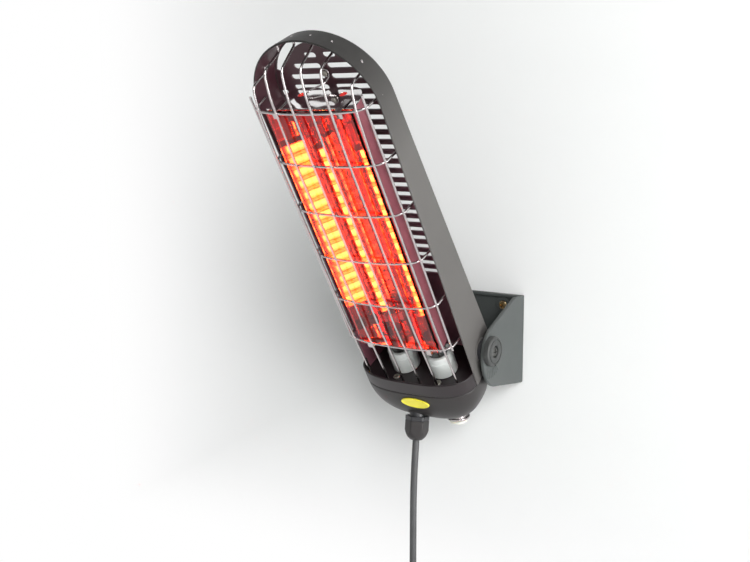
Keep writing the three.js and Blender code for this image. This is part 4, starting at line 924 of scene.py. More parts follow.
class HEATER_OT_cord(bpy.types.Operator):
    """Hangs the cord with its hank, tie and plug."""

    bl_idname = "heater.cord"
    bl_label = "Cord, hank and plug"

    def execute(self, context):
        c = context.scene.heater_cord
        look = finishes()
        path = flowing(np.concatenate([cord_route(), hank_route()]), 3)
        cord = Skin().grid(tube(path, c.radius, (0, 1, 0), 14)).piece("mains_cord")
        cord.data.materials.append(look["rubber"])
        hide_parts("cord", "cord_hank")
        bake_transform(cord)

        plug = plug_body_skin().piece("mains_plug")
        place_piece(plug, BRACKET, look["black"], "black_plastic", "plug_body")
        tip, long, root = c.pin / 2, 0.0277, 0.0412
        corners = [(0, 0), (c.pin, 0), (c.pin, long - 0.0015), (tip, long), (0, long)]
        profile = rounded(corners, tip / 2)
        for k, side in ((1, -1), (2, 1)):
            place = plug_top() + (side * c.pin_x, 0, -root)
            pin = Skin().turn(profile, place, (0, 0, -1), 32).piece(f"plug_round_pin_{k}")
            place_piece(pin, BRACKET, look["zinc"], "zinc_steel", f"plug_pin_{k}")
        tie = self.tie(context, look)
        return {"FINISHED"}

    def tie(self, context, look):
        """The tie: a rounded rectangular section carried round a rounded rectangle at the waist."""
        c = context.scene.heater_cord
        slack, thick, height = 0.0011, 0.0016, 0.010
        edge = c.radius + slack
        half_x = c.fold - c.draw_in + edge + thick / 2
        half_y = c.pitch * (c.loops - 0.5) / 2 + edge + thick / 2
        start = cord_route()[-1]
        middle_y = start[1] + c.pitch * (c.loops + 0.5) / 2
        centre = np.array([start[0] + c.fold, middle_y, c.end - c.lead - c.run / 2])
        ring = rounded_box(-half_x, half_x, -half_y, half_y, edge, 8)
        along = unit(np.gradient(np.concatenate([ring[-1:], ring, ring[:1]]), axis=0)[1:-1])
        outward = np.stack([along[:, 1], -along[:, 0]], -1)
        section = rounded_box(-thick / 2, thick / 2, -height / 2, height / 2, 0.0006, 3)
        flat = ring[:, None] + section[None, :, :1] * outward[:, None]
        z = np.repeat(section[None, :, 1:], len(ring), 0)
        points = np.concatenate([flat, z], -1) + centre
        band = Skin().grid(points, wrap_rows=True, caps=False).piece("hank_band")
        return place_piece(band, BRACKET, look["black"], "black_plastic", "hank_tie")


# ---- Body shell ----


def rear_at(u):
    """Depth of the shell's back at a height: it comes forward as it rises."""
    head = bpy.context.scene.heater_head
    return head.rear_w + head.rear_slope * np.asarray(u, float)


def racetrack(half, low, arc_u, straight=24, bend=96):
    """An upright racetrack: up one side, round a half circle, down the other; (x, u)."""
    rise = np.linspace(low, arc_u, straight, endpoint=False)
    right = np.stack([np.full(straight, half), rise], -1)
    top = arc(0, arc_u, half, np.linspace(0, math.pi, bend))
    return np.concatenate([right, top, right[::-1] * (-1, 1)])


def shell_band():
    """The shell's side: a closed section (half-width, depth) carried along the racetrack. Its
    front lip is a half round, its rear corner a quarter round of the same sheet."""
    head = bpy.context.scene.heater_head
    lip, corner = head.sheet / 2, head.corner
    front = arc(head.rim_half - lip, head.rim_w - lip, lip, np.linspace(math.pi, 0, 7))
    bend = np.linspace(0, -math.pi / 2, 7)
    edge = head.rear_half - 0.003
    outer = arc(edge, corner, corner, bend)
    inner = arc(edge, corner, corner - head.sheet, bend)[::-1]
    rows = []
    for k, (half, depth) in enumerate(np.concatenate([front, outer, inner])):
        outline = racetrack(half, head.seam_u + GAP, head.arc_u)
        w = depth + (rear_at(outline[:, 1]) if k >= len(front) else np.zeros(len(outline)))
        rows.append(np.concatenate([outline, w[:, None]], 1))
    return np.stack(rows, 1)


def louvre_outlines():
    """The slots of the back: two columns of louvres, shorter under the arch, the long slots that
    follow the edge, and the holes of the reflector's stays."""
    head = bpy.context.scene.heater_head
    top = head.arc_u + head.slot_rise
    rows = round((top - head.slot_low) / head.slot_pitch) + 1
    ring_in, ring_out = head.rear_half - head.ring_in, head.rear_half - head.ring_out
    strip = 0.005  # left between the louvres and the long slots
    outlines = []
    for row in range(rows):
        u = top - row * head.slot_pitch
        rise = max(0.0, u + head.slot_height - head.arc_u)
        reach = min(head.slot_outer, math.sqrt((ring_in - strip) ** 2 - rise**2) - 0.001)
        for side in (-1, 1):
            ends = sorted((side * head.slot_inner, side * reach))
            outlines.append(stadium(*ends, u, head.slot_height))
    for first, last in ((24, 80), (100, 156)):
        angle = np.radians(np.linspace(first, last, 20))
        edges = [arc(0, head.arc_u, ring_out, angle), arc(0, head.arc_u, ring_in, angle)[::-1]]
        outlines.append(np.concatenate(edges))
    low, high = head.arc_u - 0.027, head.arc_u + 0.002
    for side in (-1, 1):
        ends = sorted((side * ring_in, side * ring_out))
        outlines.append(rounded_box(*ends, low, high, 0.0008))
    outlines += [circle(0, u, STAY_HOLE, 16) for u in STAY_PLACES]
    return outlines


class HEATER_OT_body_shell(bpy.types.Operator):
    """Makes the body: its side band, the louvred back and the pivot bosses."""

    bl_idname = "heater.body_shell"
    bl_label = "Body shell"

    def execute(self, context):
        head = context.scene.heater_head
        skin = Skin().grid(head_to_world(shell_band()))
        edge = head.rear_half - 0.0029  # where the flat back meets the rounded corner
        outline = racetrack(edge, head.seam_u + GAP, head.arc_u, 12, 64)
        (x, u, out), faces = plate([outline, *louvre_outlines()], head.sheet, 0.0003)
        skin.add(head_to_world(np.stack([x, u, rear_at(u) + head.sheet / 2 - out], -1)), faces)
        boss_radius, boss_long = 0.0125, 0.0055
        boss = rounded(rod(boss_radius, 0, boss_long), 0.0007)
        for side, _ in SIDES:
            place = head_to_world((side * (head.rim_half - boss_long - 0.0002), 0, 0))
            skin.turn(boss, place, (side, 0, 0), 64)
        shell = skin.piece("louvred_body", smooth=40, flat=True)
        place_piece(shell, HEAD, finishes()["shell"], "shell_paint", "body_shell")
        self.line(shell, head)
        return {"FINISHED"}

    def line(self, shell, head):
        """Gives the faces that look inwards the lining, coloured with painted red light of the lamps: those
        against the radius from the racetrack's middle line, and those of the back that don't look backwards."""
        mesh = shell.data
        mesh.materials.append(finishes()["lining"])
        x, u, w, nx, nu, nw = head_centres_and_normals(mesh, head)
        from_arc = np.maximum(0, u - head.arc_u)
        distance_out = np.hypot(x, from_arc)
        against = (x * nx + from_arc * nu) / np.maximum(1e-6, distance_out) < -0.4
        on_back = (w - rear_at(u) < head.sheet + 0.0003) & (nw > -0.5)
        within = distance_out < head.rear_half - 0.0035
        mesh.polygons.foreach_set("material_index", (against | (on_back & within)).astype(np.int32))


# ---- Wall bracket ----


def cheek_outline():
    """The bracket arm's edge as (distance from the wall, height): straight runs and two cubic
    Bezier curves round the pivot."""
    tip = (0.0846, -0.004)
    low = bezier((0.060, -0.0374), (0.074, -0.036), (0.085, -0.020), tip, 16)
    high = bezier(tip, (0.0844, 0.006), (0.080, 0.014), (0.073, 0.020), 16)
    start, end = [(0.001, -0.045), (0.016, -0.0435)], [(0.020, 0.045), (0.001, 0.045)]
    return np.concatenate([start, low, high[1:], end])


class HEATER_OT_bracket(bpy.types.Operator):
    """Makes the wall bracket: back plate, ribs, screw bosses and two arms with the tilt scale."""

    bl_idname = "heater.bracket"
    bl_label = "Wall bracket"

    def execute(self, context):
        head, b = context.scene.heater_head, context.scene.heater_bracket
        skin = Skin()
        places = [(x, z) for z in (b.screw_z, -b.screw_z) for x in (-b.screw_x, b.screw_x)]
        top, hole = b.height / 2, 0.0025
        holes = [circle(x, z, hole, 20) for x, z in places]
        self.flat_part(skin, [rounded_box(-b.outer, b.outer, -top, top, 0.001), *holes], b.sheet)
        inset, width = 0.002, 0.003
        for low in (-top, top - width):
            rib = rounded_box(inset - b.outer, b.outer - inset, low, low + width, 0.0006)
            self.flat_part(skin, [rib], b.rib)
        boss = rounded(rod(0.0075, 0.0038, 0.0056, bore=0.0048), 0.0005)
        for x, z in places:
            skin.turn(boss, (x, 0, z), (0, -1, 0), 40, ring=True)
        arm = [cheek_outline(), circle(head.reach, 0, b.pivot_hole, 48)]
        for side, _ in SIDES:
            (out, z, across), faces = plate(arm, b.sheet, 0.0011)
            x = side * (b.outer - b.sheet / 2) + across
            skin.add(np.stack([x, -out, z], -1), faces)
            self.scale_marks(skin, side, b.outer, head.reach)
        bracket = skin.piece("wall_cradle", smooth=40, flat=True)
        place_piece(bracket, BRACKET, finishes()["bracket"], "charcoal_paint", "wall_bracket")
        self.wall_screws(places, b.sheet)
        return {"FINISHED"}

    def flat_part(self, skin, outlines, thickness):
        """A plate that lies on the wall."""
        (x, z, out), faces = plate(outlines, thickness, 0.0006)
        skin.add(np.stack([x, -thickness / 2 - out, z], -1), faces)

    def scale_marks(self, skin, side, outer, reach):
        """Seven raised marks on an arc under the pivot."""
        half_long, half_wide, from_pivot = 0.0045, 0.0006, 0.023
        mark = rounded_box(-half_long, half_long, -half_wide, half_wide, 0.0005)
        for k in range(-3, 4):
            angle = math.radians(8 * k - 76)
            (along, across, out), faces = plate([mark], 0.001, 0.0003)
            along = along + from_pivot
            y = -reach + np.cos(angle) * along - np.sin(angle) * across
            z = np.sin(angle) * along + np.cos(angle) * across
            skin.add(np.stack([side * outer + out, y, z], -1), faces)

    def wall_screws(self, places, sheet):
        """The four wall screws: a cross head over its shank."""
        outward = (0, -1, 0)
        for k, (x, z) in enumerate(places):
            skin = screw_head(Skin(), (x, -sheet - 0.0001, z), outward, 0.0042, 0.0024)
            skin.turn(rod(0.0021, 0.0001, 0.005), (x, 0, z), outward, 24)
            screw = skin.piece(f"cradle_screw_{k + 1}")
            place_piece(screw, BRACKET, finishes()["brass"], "zinc_steel", f"wall_screw_{k + 1}")


# ---- Wire guard ----


def rung_path(u):
    """A cross wire: out of one side of the shell, over the shoulder, behind the front wires, and
    back into the other side, with rounded bends."""
    guard, head = bpy.context.scene.heater_guard, bpy.context.scene.heater_head
    under = 1.5 * guard.wire
    wall_x = head.rim_half - 0.0015
    half = [
        (wall_x, u, guard.rung_w),
        (head.rim_half - 0.0046, u, guard.rung_w),
        (head.rim_half - guard.shoulder_in, u, guard.shoulder_w),
        (guard.spread[2], u, guard.depth[2] + 0.0004 - under),
        (guard.spread[1], u, guard.depth[1] + 0.0006 - under),
        (0, u, guard.depth[0] + 0.001 - under),
    ]
    mirrored = [(-x, v, w) for x, v, w in half[-2::-1]]
    return rounded(half + mirrored, 0.007, 7)


def front_wire_path(side, k):
    """A front wire: up from the tray, along the front, and back into the arch."""
    scene = bpy.context.scene
    guard, head, bowl = scene.heater_guard, scene.heater_head, scene.heater_bowl
    x, w = side * guard.spread[k], guard.depth[k]
    top = head.arc_u + guard.rise[k]
    wall_u = head.arc_u + math.sqrt((head.rim_half - 0.0003) ** 2 - x * x)
    corners = [
        (x * 1.01, bowl.floor - 0.0018, w - 0.004),
        (x * 1.01, -0.008, w - 0.004),
        (x, 0.060, w - 0.0004),
        (x, head.arc_u - 0.039, w + 0.001),
        (x, top - 0.022, w - 0.0008),
        (x, top, w - 0.0056),
        (x, wall_u - 0.009, guard.top_w),
        (x, wall_u - 0.0014, guard.top_w),
    ]
    return rounded(corners, 0.0065, 8)


class HEATER_OT_guard(bpy.types.Operator):
    """Bends the wire guard: six front wires, six rungs and two side wires, welded together."""

    bl_idname = "heater.guard"
    bl_label = "Wire guard"

    def execute(self, context):
        guard, head = context.scene.heater_guard, context.scene.heater_head
        skin = Skin()
        across, upward = (1, 0, 0), head_direction(0, 1, 0)
        for side, _ in SIDES:
            for k in range(3):
                skin.wire(front_wire_path(side, k), guard.wire, across, 12)
        places = np.linspace(guard.first, head.arc_u + 0.007, guard.rungs)
        for u in places:
            skin.wire(rung_path(u), guard.wire, upward, 12)
        shoulder = np.array([head.rim_half - guard.shoulder_in, 0, guard.shoulder_w])
        path = rung_path(0.0)
        away = np.linalg.norm(path - shoulder, axis=1)
        # the bend's two middle points are equally near, so one of them is named
        nearest = path[np.flatnonzero(away < away.min() + 1e-6)[-1]]
        lift = 1.4 * guard.wire / math.sqrt(2)
        for side, _ in SIDES:
            x, w = side * (nearest[0] + lift), nearest[2] + lift
            ends = np.array([(x, places[0] - 0.003, w), (x, places[-1] + 0.012, w)])
            stretch = ends[0] + (ends[1] - ends[0]) * np.linspace(0, 1, 16)[:, None]
            skin.wire(stretch, guard.wire, across, 12)
        wires = skin.piece("bent_wire_guard")
        place_piece(wires, HEAD, finishes()["chrome"], "bright_wire", "wire_guard")
        return {"FINISHED"}


# ---- Reflector, glass and their fixings ----


def trough_half(count_in=14, count_out=30):
    """Half the trough's section as (x, w): a cubic Bezier from the ridge to the floor behind the
    lamp, and one that sweeps up to the mouth."""
    scene = bpy.context.scene
    r, lamp = scene.heater_reflector, scene.heater_lamps
    floor = (lamp.x - 0.002, r.back)
    inner = bezier((0, r.ridge), (0.005, r.back + 0.001), (0.012, r.back), floor, count_in)
    outer = bezier(floor, (0.036, r.back), (r.half - 0.001, 0.014), (r.half, r.front), count_out)
    return np.concatenate([inner, outer[1:]])


class HEATER_OT_reflector(bpy.types.Operator):
    """Forms the polished trough, its end plates and its hanger."""

    bl_idname = "heater.reflector"
    bl_label = "Reflector"

    def execute(self, context):
        r = context.scene.heater_reflector
        look = finishes()
        right = trough_half()
        whole = np.concatenate([right[:0:-1] * (-1, 1), right])
        along = unit(np.gradient(whole, axis=0))
        out = np.stack([along[:, 1], -along[:, 0]], -1) * r.sheet
        x, w = np.concatenate([whole, (whole + out)[::-1]]).T
        points = np.stack(np.broadcast_arrays(x, np.linspace(r.low, r.high, 12)[:, None], w), -1)
        trough = Skin().grid(head_to_world(points)).piece("polished_trough", smooth=40)
        place_piece(trough, HEAD, look["mirror"], "polished_reflector", "reflector_trough")
        self.paint_lamp_glow_on_flanks(trough, context.scene.heater_head, look)
        self.end_plates(context, whole, look)
        self.hanger(context, look)
        return {"FINISHED"}

    def paint_lamp_glow_on_flanks(self, trough, head, look):
        """Gives the outside of the trough its dull finish, tinted maroon as a painted reflection of the
        lamps' red light: the faces far from the middle that look away from it."""
        mesh = trough.data
        mesh.materials.append(look["flank"])
        x, nx = head_centres_and_normals(mesh, head)[0::3]
        outside = (np.abs(x) > 0.03) & (nx * np.sign(x) > 0.4)
        mesh.polygons.foreach_set("material_index", outside.astype(np.int32))

    def end_plates(self, context, whole, look):
        """The trough's ends: plates of its outline, holed for the lamps."""
        r, lamp = context.scene.heater_reflector, context.scene.heater_lamps
        sheet, wider = 0.001, 1.03
        mouth = [(r.half * wider, r.front), (-r.half * wider, r.front)]
        outline = np.concatenate([whole * (wider, 1) - (0, sheet), mouth])
        for name, node_name, u, hole in (
            ("trough_end_upper", "reflector_end_top", r.high + GAP, 0.0034),
            ("trough_end_lower", "reflector_end_bottom", r.low - sheet - GAP, lamp.tube + 0.0008),
        ):
            holes = [circle(side * lamp.x, lamp.w, hole, 40) for side in (-1, 1)]
            (x, w, up), faces = plate([outline, *holes], sheet, 0.0002)
            placed = np.stack([x, u + sheet / 2 - up, w], -1)
            end = Skin().add(head_to_world(placed), faces).piece(name, flat=True)
            place_piece(end, HEAD, look["mirror"], "polished_reflector", node_name)

    def hanger(self, context, look):
        """The sprung wire that hangs the reflector's top from the back, with its screw."""
        head, r = context.scene.heater_head, context.scene.heater_reflector
        wire, eye = 0.0007, 0.0034
        eye_u = head.arc_u + 0.020
        back_w = float(rear_at(eye_u))
        eye_w = back_w + head.sheet + 0.0016
        corners = [
            (-0.015, r.high + 0.0024, 0.017),
            (-0.012, eye_u - 0.009, 0.014),
            (-0.001, eye_u - 0.0075, 0.006),
            (0.0026, eye_u - 0.004, eye_w + 0.0004),
        ]
        ring = np.insert(arc(0, eye_u, eye, np.radians(np.arange(-40, 300, 12))), 2, eye_w, axis=1)
        path = np.concatenate([rounded(corners, 0.003, 6), ring])
        made = Skin().wire(path, wire, head_direction(0.35, -0.2, 0.9), 10).piece("sprung_hanger")
        place_piece(made, HEAD, look["chrome"], "bright_wire", "top_hanger")
        seat_w = eye_w + wire + 0.0002
        seat, outward = head_to_world((0, eye_u, seat_w)), head_direction(0, 0, 1)
        skin = screw_head(Skin(), seat, outward, 0.0024, 0.0015, cross=False)
        shank = [(0, 0), (0.0015, 0), (0.0015, seat_w - back_w - 0.0004), (0, 0.0044)]
        skin.turn(shank, seat, head_direction(0, 0, -1), 20)
        place_piece(skin.piece("hanger_pin"), HEAD, look["zinc"], "zinc_steel", "hanger_screw")


class HEATER_OT_glass(bpy.types.Operator):
    """Lays the red filter glass over the trough."""

    bl_idname = "heater.glass"
    bl_label = "Filter glass"

    def execute(self, context):
        r = context.scene.heater_reflector
        half = r.half + 0.0007
        outline = rounded_box(-half, half, r.low + 0.0006, r.high, 0.0015)
        (x, u, out), faces = plate([outline], r.glass, 0.0006)
        placed = np.stack([x, u, r.front + GAP + r.glass / 2 + out], -1)
        glass = Skin().add(head_to_world(placed), faces).piece("filter_pane", smooth=10)
        place_piece(glass, HEAD, finishes()["ruby"], "ruby_glass", "filter_glass")
        return {"FINISHED"}


# ---- Lamps ----


class HEATER_OT_lamps(bpy.types.Operator):
    """Makes both lamps: quartz tube, coiled filament and ceramic socket."""

    bl_idname = "heater.lamps"
    bl_label = "Lamps"

    def execute(self, context):
        look = finishes()
        glowing = glowing_finish()
        for side, name in SIDES:
            self.quartz(context, side, name, look["quartz"])
            self.filament(context, side, name, glowing)
            self.socket(context, side, name, look["ceramic"])
        return {"FINISHED"}

    def quartz(self, context, side, name, material):
        """The tube: outer and inner wall with half-round tops, closed at its foot."""
        lamp, bowl = context.scene.heater_lamps, context.scene.heater_bowl
        low = bowl.floor + GAP + 0.010
        angle = np.linspace(0, math.pi / 2, 12)
        inner = lamp.tube - lamp.wall
        top = lamp.top - low - lamp.tube
        outside, inside = arc(0, top, lamp.tube, angle), arc(0, top, inner, angle)[::-1]
        profile = np.concatenate([[(inner, 0), (lamp.tube, 0)], outside, inside, [(inner, 0)]])
        rings = lathe(profile, head_to_world((side * lamp.x, low, lamp.w)), head_direction(0, 1, 0), 48)
        skin = Skin().grid(rings, caps=False)
        place_piece(skin.piece("quartz_" + name), HEAD, material, "quartz", "lamp_tube_" + name)

    def filament(self, context, side, name, material):
        """Coils in a row, each a helix (r cos a, r sin a, pitch a) over a share of its place."""
        lamp = context.scene.heater_lamps
        pitch = (lamp.lit_high - lamp.lit_low) / lamp.coils
        turns, per_turn, share, wire = 9, 8, 0.74, 0.00042
        angle = np.linspace(0, turns * TURN, turns * per_turn + 1)
        skin = Skin()
        for k in range(lamp.coils):
            rise = lamp.lit_low + pitch * (k + (1 - share) / 2) + pitch * share * angle / angle[-1]
            path = np.insert(arc(side * lamp.x, lamp.w, lamp.coil, angle), 1, rise, axis=1)
            skin.wire(path, wire, head_direction(0, 1, 0), 5)
        place_piece(skin.piece("glowing_coils_" + name), HEAD, material, "filament", "lamp_filament_" + name)
        self.stem(context, side, name, pitch)

    def stem(self, context, side, name, pitch):
        """The stem of a filament with a thin disc between its coils, in one turned profile."""
        lamp = context.scene.heater_lamps
        low, high, thin, disc = -0.006, lamp.top - 0.016, 0.0008, 0.0066
        neck = thin + 0.0001
        profile = [(0, 0), (thin, 0), (thin, lamp.lit_low - low)]
        for k in range(lamp.coils + 1):
            y = lamp.lit_low - low + k * pitch
            profile += [(neck, y - 0.0004), (disc, y - 0.0003), (disc, y + 0.0003), (neck, y + 0.0004)]
        profile += [(thin, high - low), (0, high - low)]
        place = head_to_world((side * lamp.x, low, lamp.w))
        skin = Skin().turn(profile, place, head_direction(0, 1, 0), 20)
        stem = skin.piece("filament_stem_" + name)
        place_piece(stem, HEAD, finishes()["zinc"], "zinc_steel", "lamp_filament_" + name)

    def socket(self, context, side, name, material):
        """The ceramic socket: a turned cup with rounded rims and a shallow ring near its top."""
        lamp, bowl = context.scene.heater_lamps, context.scene.heater_bowl
        r, h, step, seat = lamp.base, lamp.base_height, 0.0004, 0.0097
        bore = lamp.tube + GAP
        profile = [(0, 0), (r, 0), (r, h * 0.72), (r - step, h * 0.74), (r - step, h)]
        profile = rounded([*profile, (bore, h), (bore, seat), (0, seat)], 0.0011)
        place = head_to_world((side * lamp.x, bowl.floor + GAP, lamp.w))
        made = Skin().turn(profile, place, head_direction(0, 1, 0), 64).piece("ceramic_socket_" + name)
        place_piece(made, HEAD, material, "white_ceramic", "lamp_base_" + name)


# ---- Bottom ----


def superellipse(half_x, half_w, power, angle):
    """Points of a superellipse by true angle: r = (|cos/a|^n + |sin/b|^n)^(-1/n)."""
    cos, sin = np.cos(angle), np.sin(angle)
    r = (np.abs(cos / half_x) ** power + np.abs(sin / half_w) ** power) ** (-1 / power)
    return r * cos, r * sin


def bowl_front(x, u):
    """Depth of the bowl's front at (x, u): both superellipses solved for w."""
    b = bpy.context.scene.heater_bowl
    seam = bpy.context.scene.heater_head.seam_u - GAP
    fall = np.clip((seam - u) / b.drop, 0, 0.999)
    shrink = (1 - fall**b.profile) ** (1 / b.profile)
    inside = np.clip(1 - (np.abs(x) / (b.half * shrink)) ** b.plan, 0, 1)
    return b.w + b.depth * shrink * inside ** (1 / b.plan)


class HEATER_OT_bottom(bpy.types.Operator):
    """Moulds the tray with its collar, the bowl and the bare oval badge."""

    bl_idname = "heater.bottom"
    bl_label = "Bowl, tray and badge"

    def execute(self, context):
        look = finishes()
        self.bowl(context, look["plastic"])
        self.tray(context, look["collar"])
        self.badge(context, look["badge"])
        self.tray_screws(context, look["zinc"])
        return {"FINISHED"}

    def bowl(self, context, material):
        """The bowl: superellipse rings that shrink as (1 - fall^n)^(1/n), with an inner skin."""
        b, head = context.scene.heater_bowl, context.scene.heater_head
        angle = np.linspace(0, TURN, 128, endpoint=False)
        top = head.seam_u - GAP

        def skin_rows(inset, count):
            psi = np.linspace(0, math.pi / 2, count)[:, None]
            across, down = superellipse(1.0, 1.0, b.profile, psi)
            x, w = superellipse(b.half - inset, b.depth - inset, b.plan, angle)
            rows = np.broadcast_arrays(across * x, top - (b.drop - inset) * down, b.w + across * w)
            return np.stack(rows, -1)

        rim, outer, inner = skin_rows(0, 2)[:1], skin_rows(0, 40), skin_rows(b.wall, 24)[::-1]
        lip = (rim - (0, 0, b.w)) * (0.992, 1, 0.985) + (0, 0, b.w)
        outer[0] = rim[0] - (0, 0.0006, 0)
        points = np.concatenate([inner, lip, outer])
        made = Skin().grid(head_to_world(points), caps=False).piece("moulded_bowl", smooth=50)
        place_piece(made, HEAD, material, "charcoal_paint", "lower_bowl")

    def tray(self, context, material):
        """The tray: a floor plate inside the body, and a collar carried along the front half of
        the bowl's superellipse."""
        b, head = context.scene.heater_bowl, context.scene.heater_head
        low = head.seam_u + GAP / 2
        front_w, side_w, near_w = 0.0256, 0.0255, 0.0263  # just in front of the shell's rim
        x, w = superellipse(b.half, b.depth, b.plan, np.linspace(0, math.pi, 161))
        front = w > front_w - b.w
        path = np.stack([x[front], w[front] + b.w], -1)
        along = unit(np.gradient(path, axis=0))
        inward = np.stack([-along[:, 1], along[:, 0]], -1)
        section = rounded_box(0, b.wall, low, b.collar, 0.0007, 4)
        flat = path[:, None] + inward[:, None] * section[None, :, :1]
        collar = np.stack(np.broadcast_arrays(flat[..., 0], section[:, 1], flat[..., 1]), -1)
        skin = Skin().grid(head_to_world(collar))

        def inside(depth):
            taper = (head.rim_half - head.rear_half) * (head.rim_w - depth) / (head.rim_w - head.rear_w)
            return head.rim_half - head.sheet - GAP - taper

        back = float(rear_at(b.floor)) + head.sheet + GAP + 0.0012
        near, far = inside(near_w), inside(back)
        sides = [(-near, side_w), (-far, back), (far, back), (near, side_w)]
        outline = np.concatenate([path + inward * 0.001, sides])
        (x, w, up), faces = plate([outline], b.floor - low, 0.0003)
        skin.add(head_to_world(np.stack([x, (b.floor + low) / 2 + up, w], -1)), faces)
        made = skin.piece("collared_tray", smooth=40, flat=True)
        place_piece(made, HEAD, material, "charcoal_paint", "socket_tray")

    def badge(self, context, material):
        """The badge: rings of an ellipse laid on the bowl's front, thick at its raised rim."""
        b = context.scene.heater_bowl
        rho = np.array([0, 0.3, 0.6, 0.80, 0.86, 0.90, 0.95, 0.99, 1.0])[:, None]
        rise = np.array([0.95, 0.95, 0.95, 0.95, 1.0, 1.3, 1.4, 1.25, 0.9])[:, None] / 1000
        angle = np.linspace(0, TURN, 72, endpoint=False)
        x = b.badge_x + b.badge_half_x * rho * np.cos(angle)
        u = b.badge_u + b.badge_half_u * rho * np.sin(angle)
        seat = bowl_front(x, u) + GAP
        points = np.concatenate([np.stack([x, u, seat + rise], -1), np.stack([x, u, seat], -1)[::-1]])
        made = Skin().grid(head_to_world(points), caps=False).piece("bare_oval_plate")
        place_piece(made, HEAD, material, "yellow_plate", "oval_badge")

    def tray_screws(self, context, material):
        """The two screws that hold the tray on the bowl."""
        b = context.scene.heater_bowl
        x, w = 0.024, 0.033
        for side, name in SIDES:
            seat = head_to_world((side * x, b.floor + 0.0001, w))
            skin = screw_head(Skin(), seat, head_direction(0, 1, 0), 0.0034, 0.0020)
            skin.turn(rod(0.0016, 0, 0.012), seat, head_direction(0, -1, 0), 20)
            screw = skin.piece("tray_fixing_" + name)
            place_piece(screw, HEAD, material, "zinc_steel", "tray_screw_" + name)


# ---- Gland, switch and pivots ----


def hexagon(across):
    """A shape for lathe(): the radius is cut by a hexagon's flats, whose corners are eased."""

    def cut(radius, height, angle):
        flat = (across / 2) / np.cos((angle % (TURN / 6)) - TURN / 12)
        return np.minimum(radius, np.minimum(flat, across / 2 * 1.13)), height

    return cut


class HEATER_OT_gland(bpy.types.Operator):
    """Turns the cable gland: hexagonal body, domed nut and rubber seal."""

    bl_idname = "heater.gland"
    bl_label = "Cable gland"

    def execute(self, context):
        look = finishes()
        seat, axis = head_to_world(GLAND_SEAT), head_direction(*GLAND_AXIS)
        flats = hexagon(context.scene.heater_bowl.across)
        bore, thread, flange, nut_low = 0.0058, 0.008, 0.0128, 0.0046
        body = [(bore, -0.013), (thread, -0.013), (thread, GAP), (flange, GAP), (flange, 0.0043)]
        body += [(0.0095, 0.0043), (thread, nut_low), (thread, 0.0110), (bore, 0.0110)]
        nut = [(0.0083, 0), (0.0117, 0), (0.0124, 0.001), (0.0124, 0.0095), (0.0112, 0.0135)]
        nut += [(0.0094, 0.0172), (0.0062, 0.020), (0.0056, 0.020), (0.0056, 0.006), (0.0083, 0.006)]
        nut = np.array(nut) + (0, nut_low)
        seal = [(0.0038, 0.003), (0.0053, 0.003), (0.0053, 0.0243), (0.0046, 0.0250), (0.0038, 0.0246)]
        for name, node_name, profile, bend, sides, shape, material in (
            ("gland_flange", "gland_body", body, 0.0005, 96, flats, "black"),
            ("gland_cap", "gland_nut", nut, 0.0016, 96, flats, "plastic"),
            ("gland_grommet", "gland_seal", seal, 0.0004, 40, None, "black"),
        ):
            skin = Skin().turn(rounded(profile, bend), seat, axis, sides, shape, ring=True)
            place_piece(skin.piece(name), HEAD, look[material], "black_plastic", node_name)
        return {"FINISHED"}


class HEATER_OT_switch(bpy.types.Operator):
    """Makes the push switch: its bezel and its pale pleated boot."""

    bl_idname = "heater.switch"
    bl_label = "Push switch"

    def execute(self, context):
        look = finishes()
        seat, axis = head_to_world(SWITCH_SEAT), head_direction(*SWITCH_AXIS)
        bore, neck, low, boot = 0.0066, 0.0096, 0.004, context.scene.heater_bowl.boot
        bezel = [(bore, -0.014), (neck, -0.014), (neck, 0.0003), (0.012, 0.0003), (0.012, 0.002)]
        bezel += [(0.011, 0.0028), (0.0099, 0.0028), (0.0099, 0.0012), (bore, 0.0012)]
        skin = Skin().turn(rounded(bezel, 0.0004), seat, axis, 64, ring=True)
        skin.turn(rounded(rod(neck, -0.016, -0.013), 0.0004), seat, axis, 48)
        place_piece(skin.piece("switch_bezel"), HEAD, look["chrome"], "pale_boot", "switch_housing")
        rho = np.linspace(1, 0, 14)
        pleats = 0.00025 * np.sin(rho * 5 * math.pi) * (rho < 0.95)
        dome = np.stack([boot * rho, low + 0.0014 + 0.0028 * np.sqrt(1 - rho**2) + pleats], -1)
        foot = [(0, -0.0094), (0.0058, -0.0094), (0.0058, low), (boot, low), (boot, low + 0.0012)]
        profile = np.concatenate([rounded(foot, 0.0004)[:-1], dome])
        button = Skin().turn(profile, seat, axis, 64).piece("switch_boot")
        place_piece(button, BUTTON, look["boot"], "pale_boot", "switch_button")
        return {"FINISHED"}


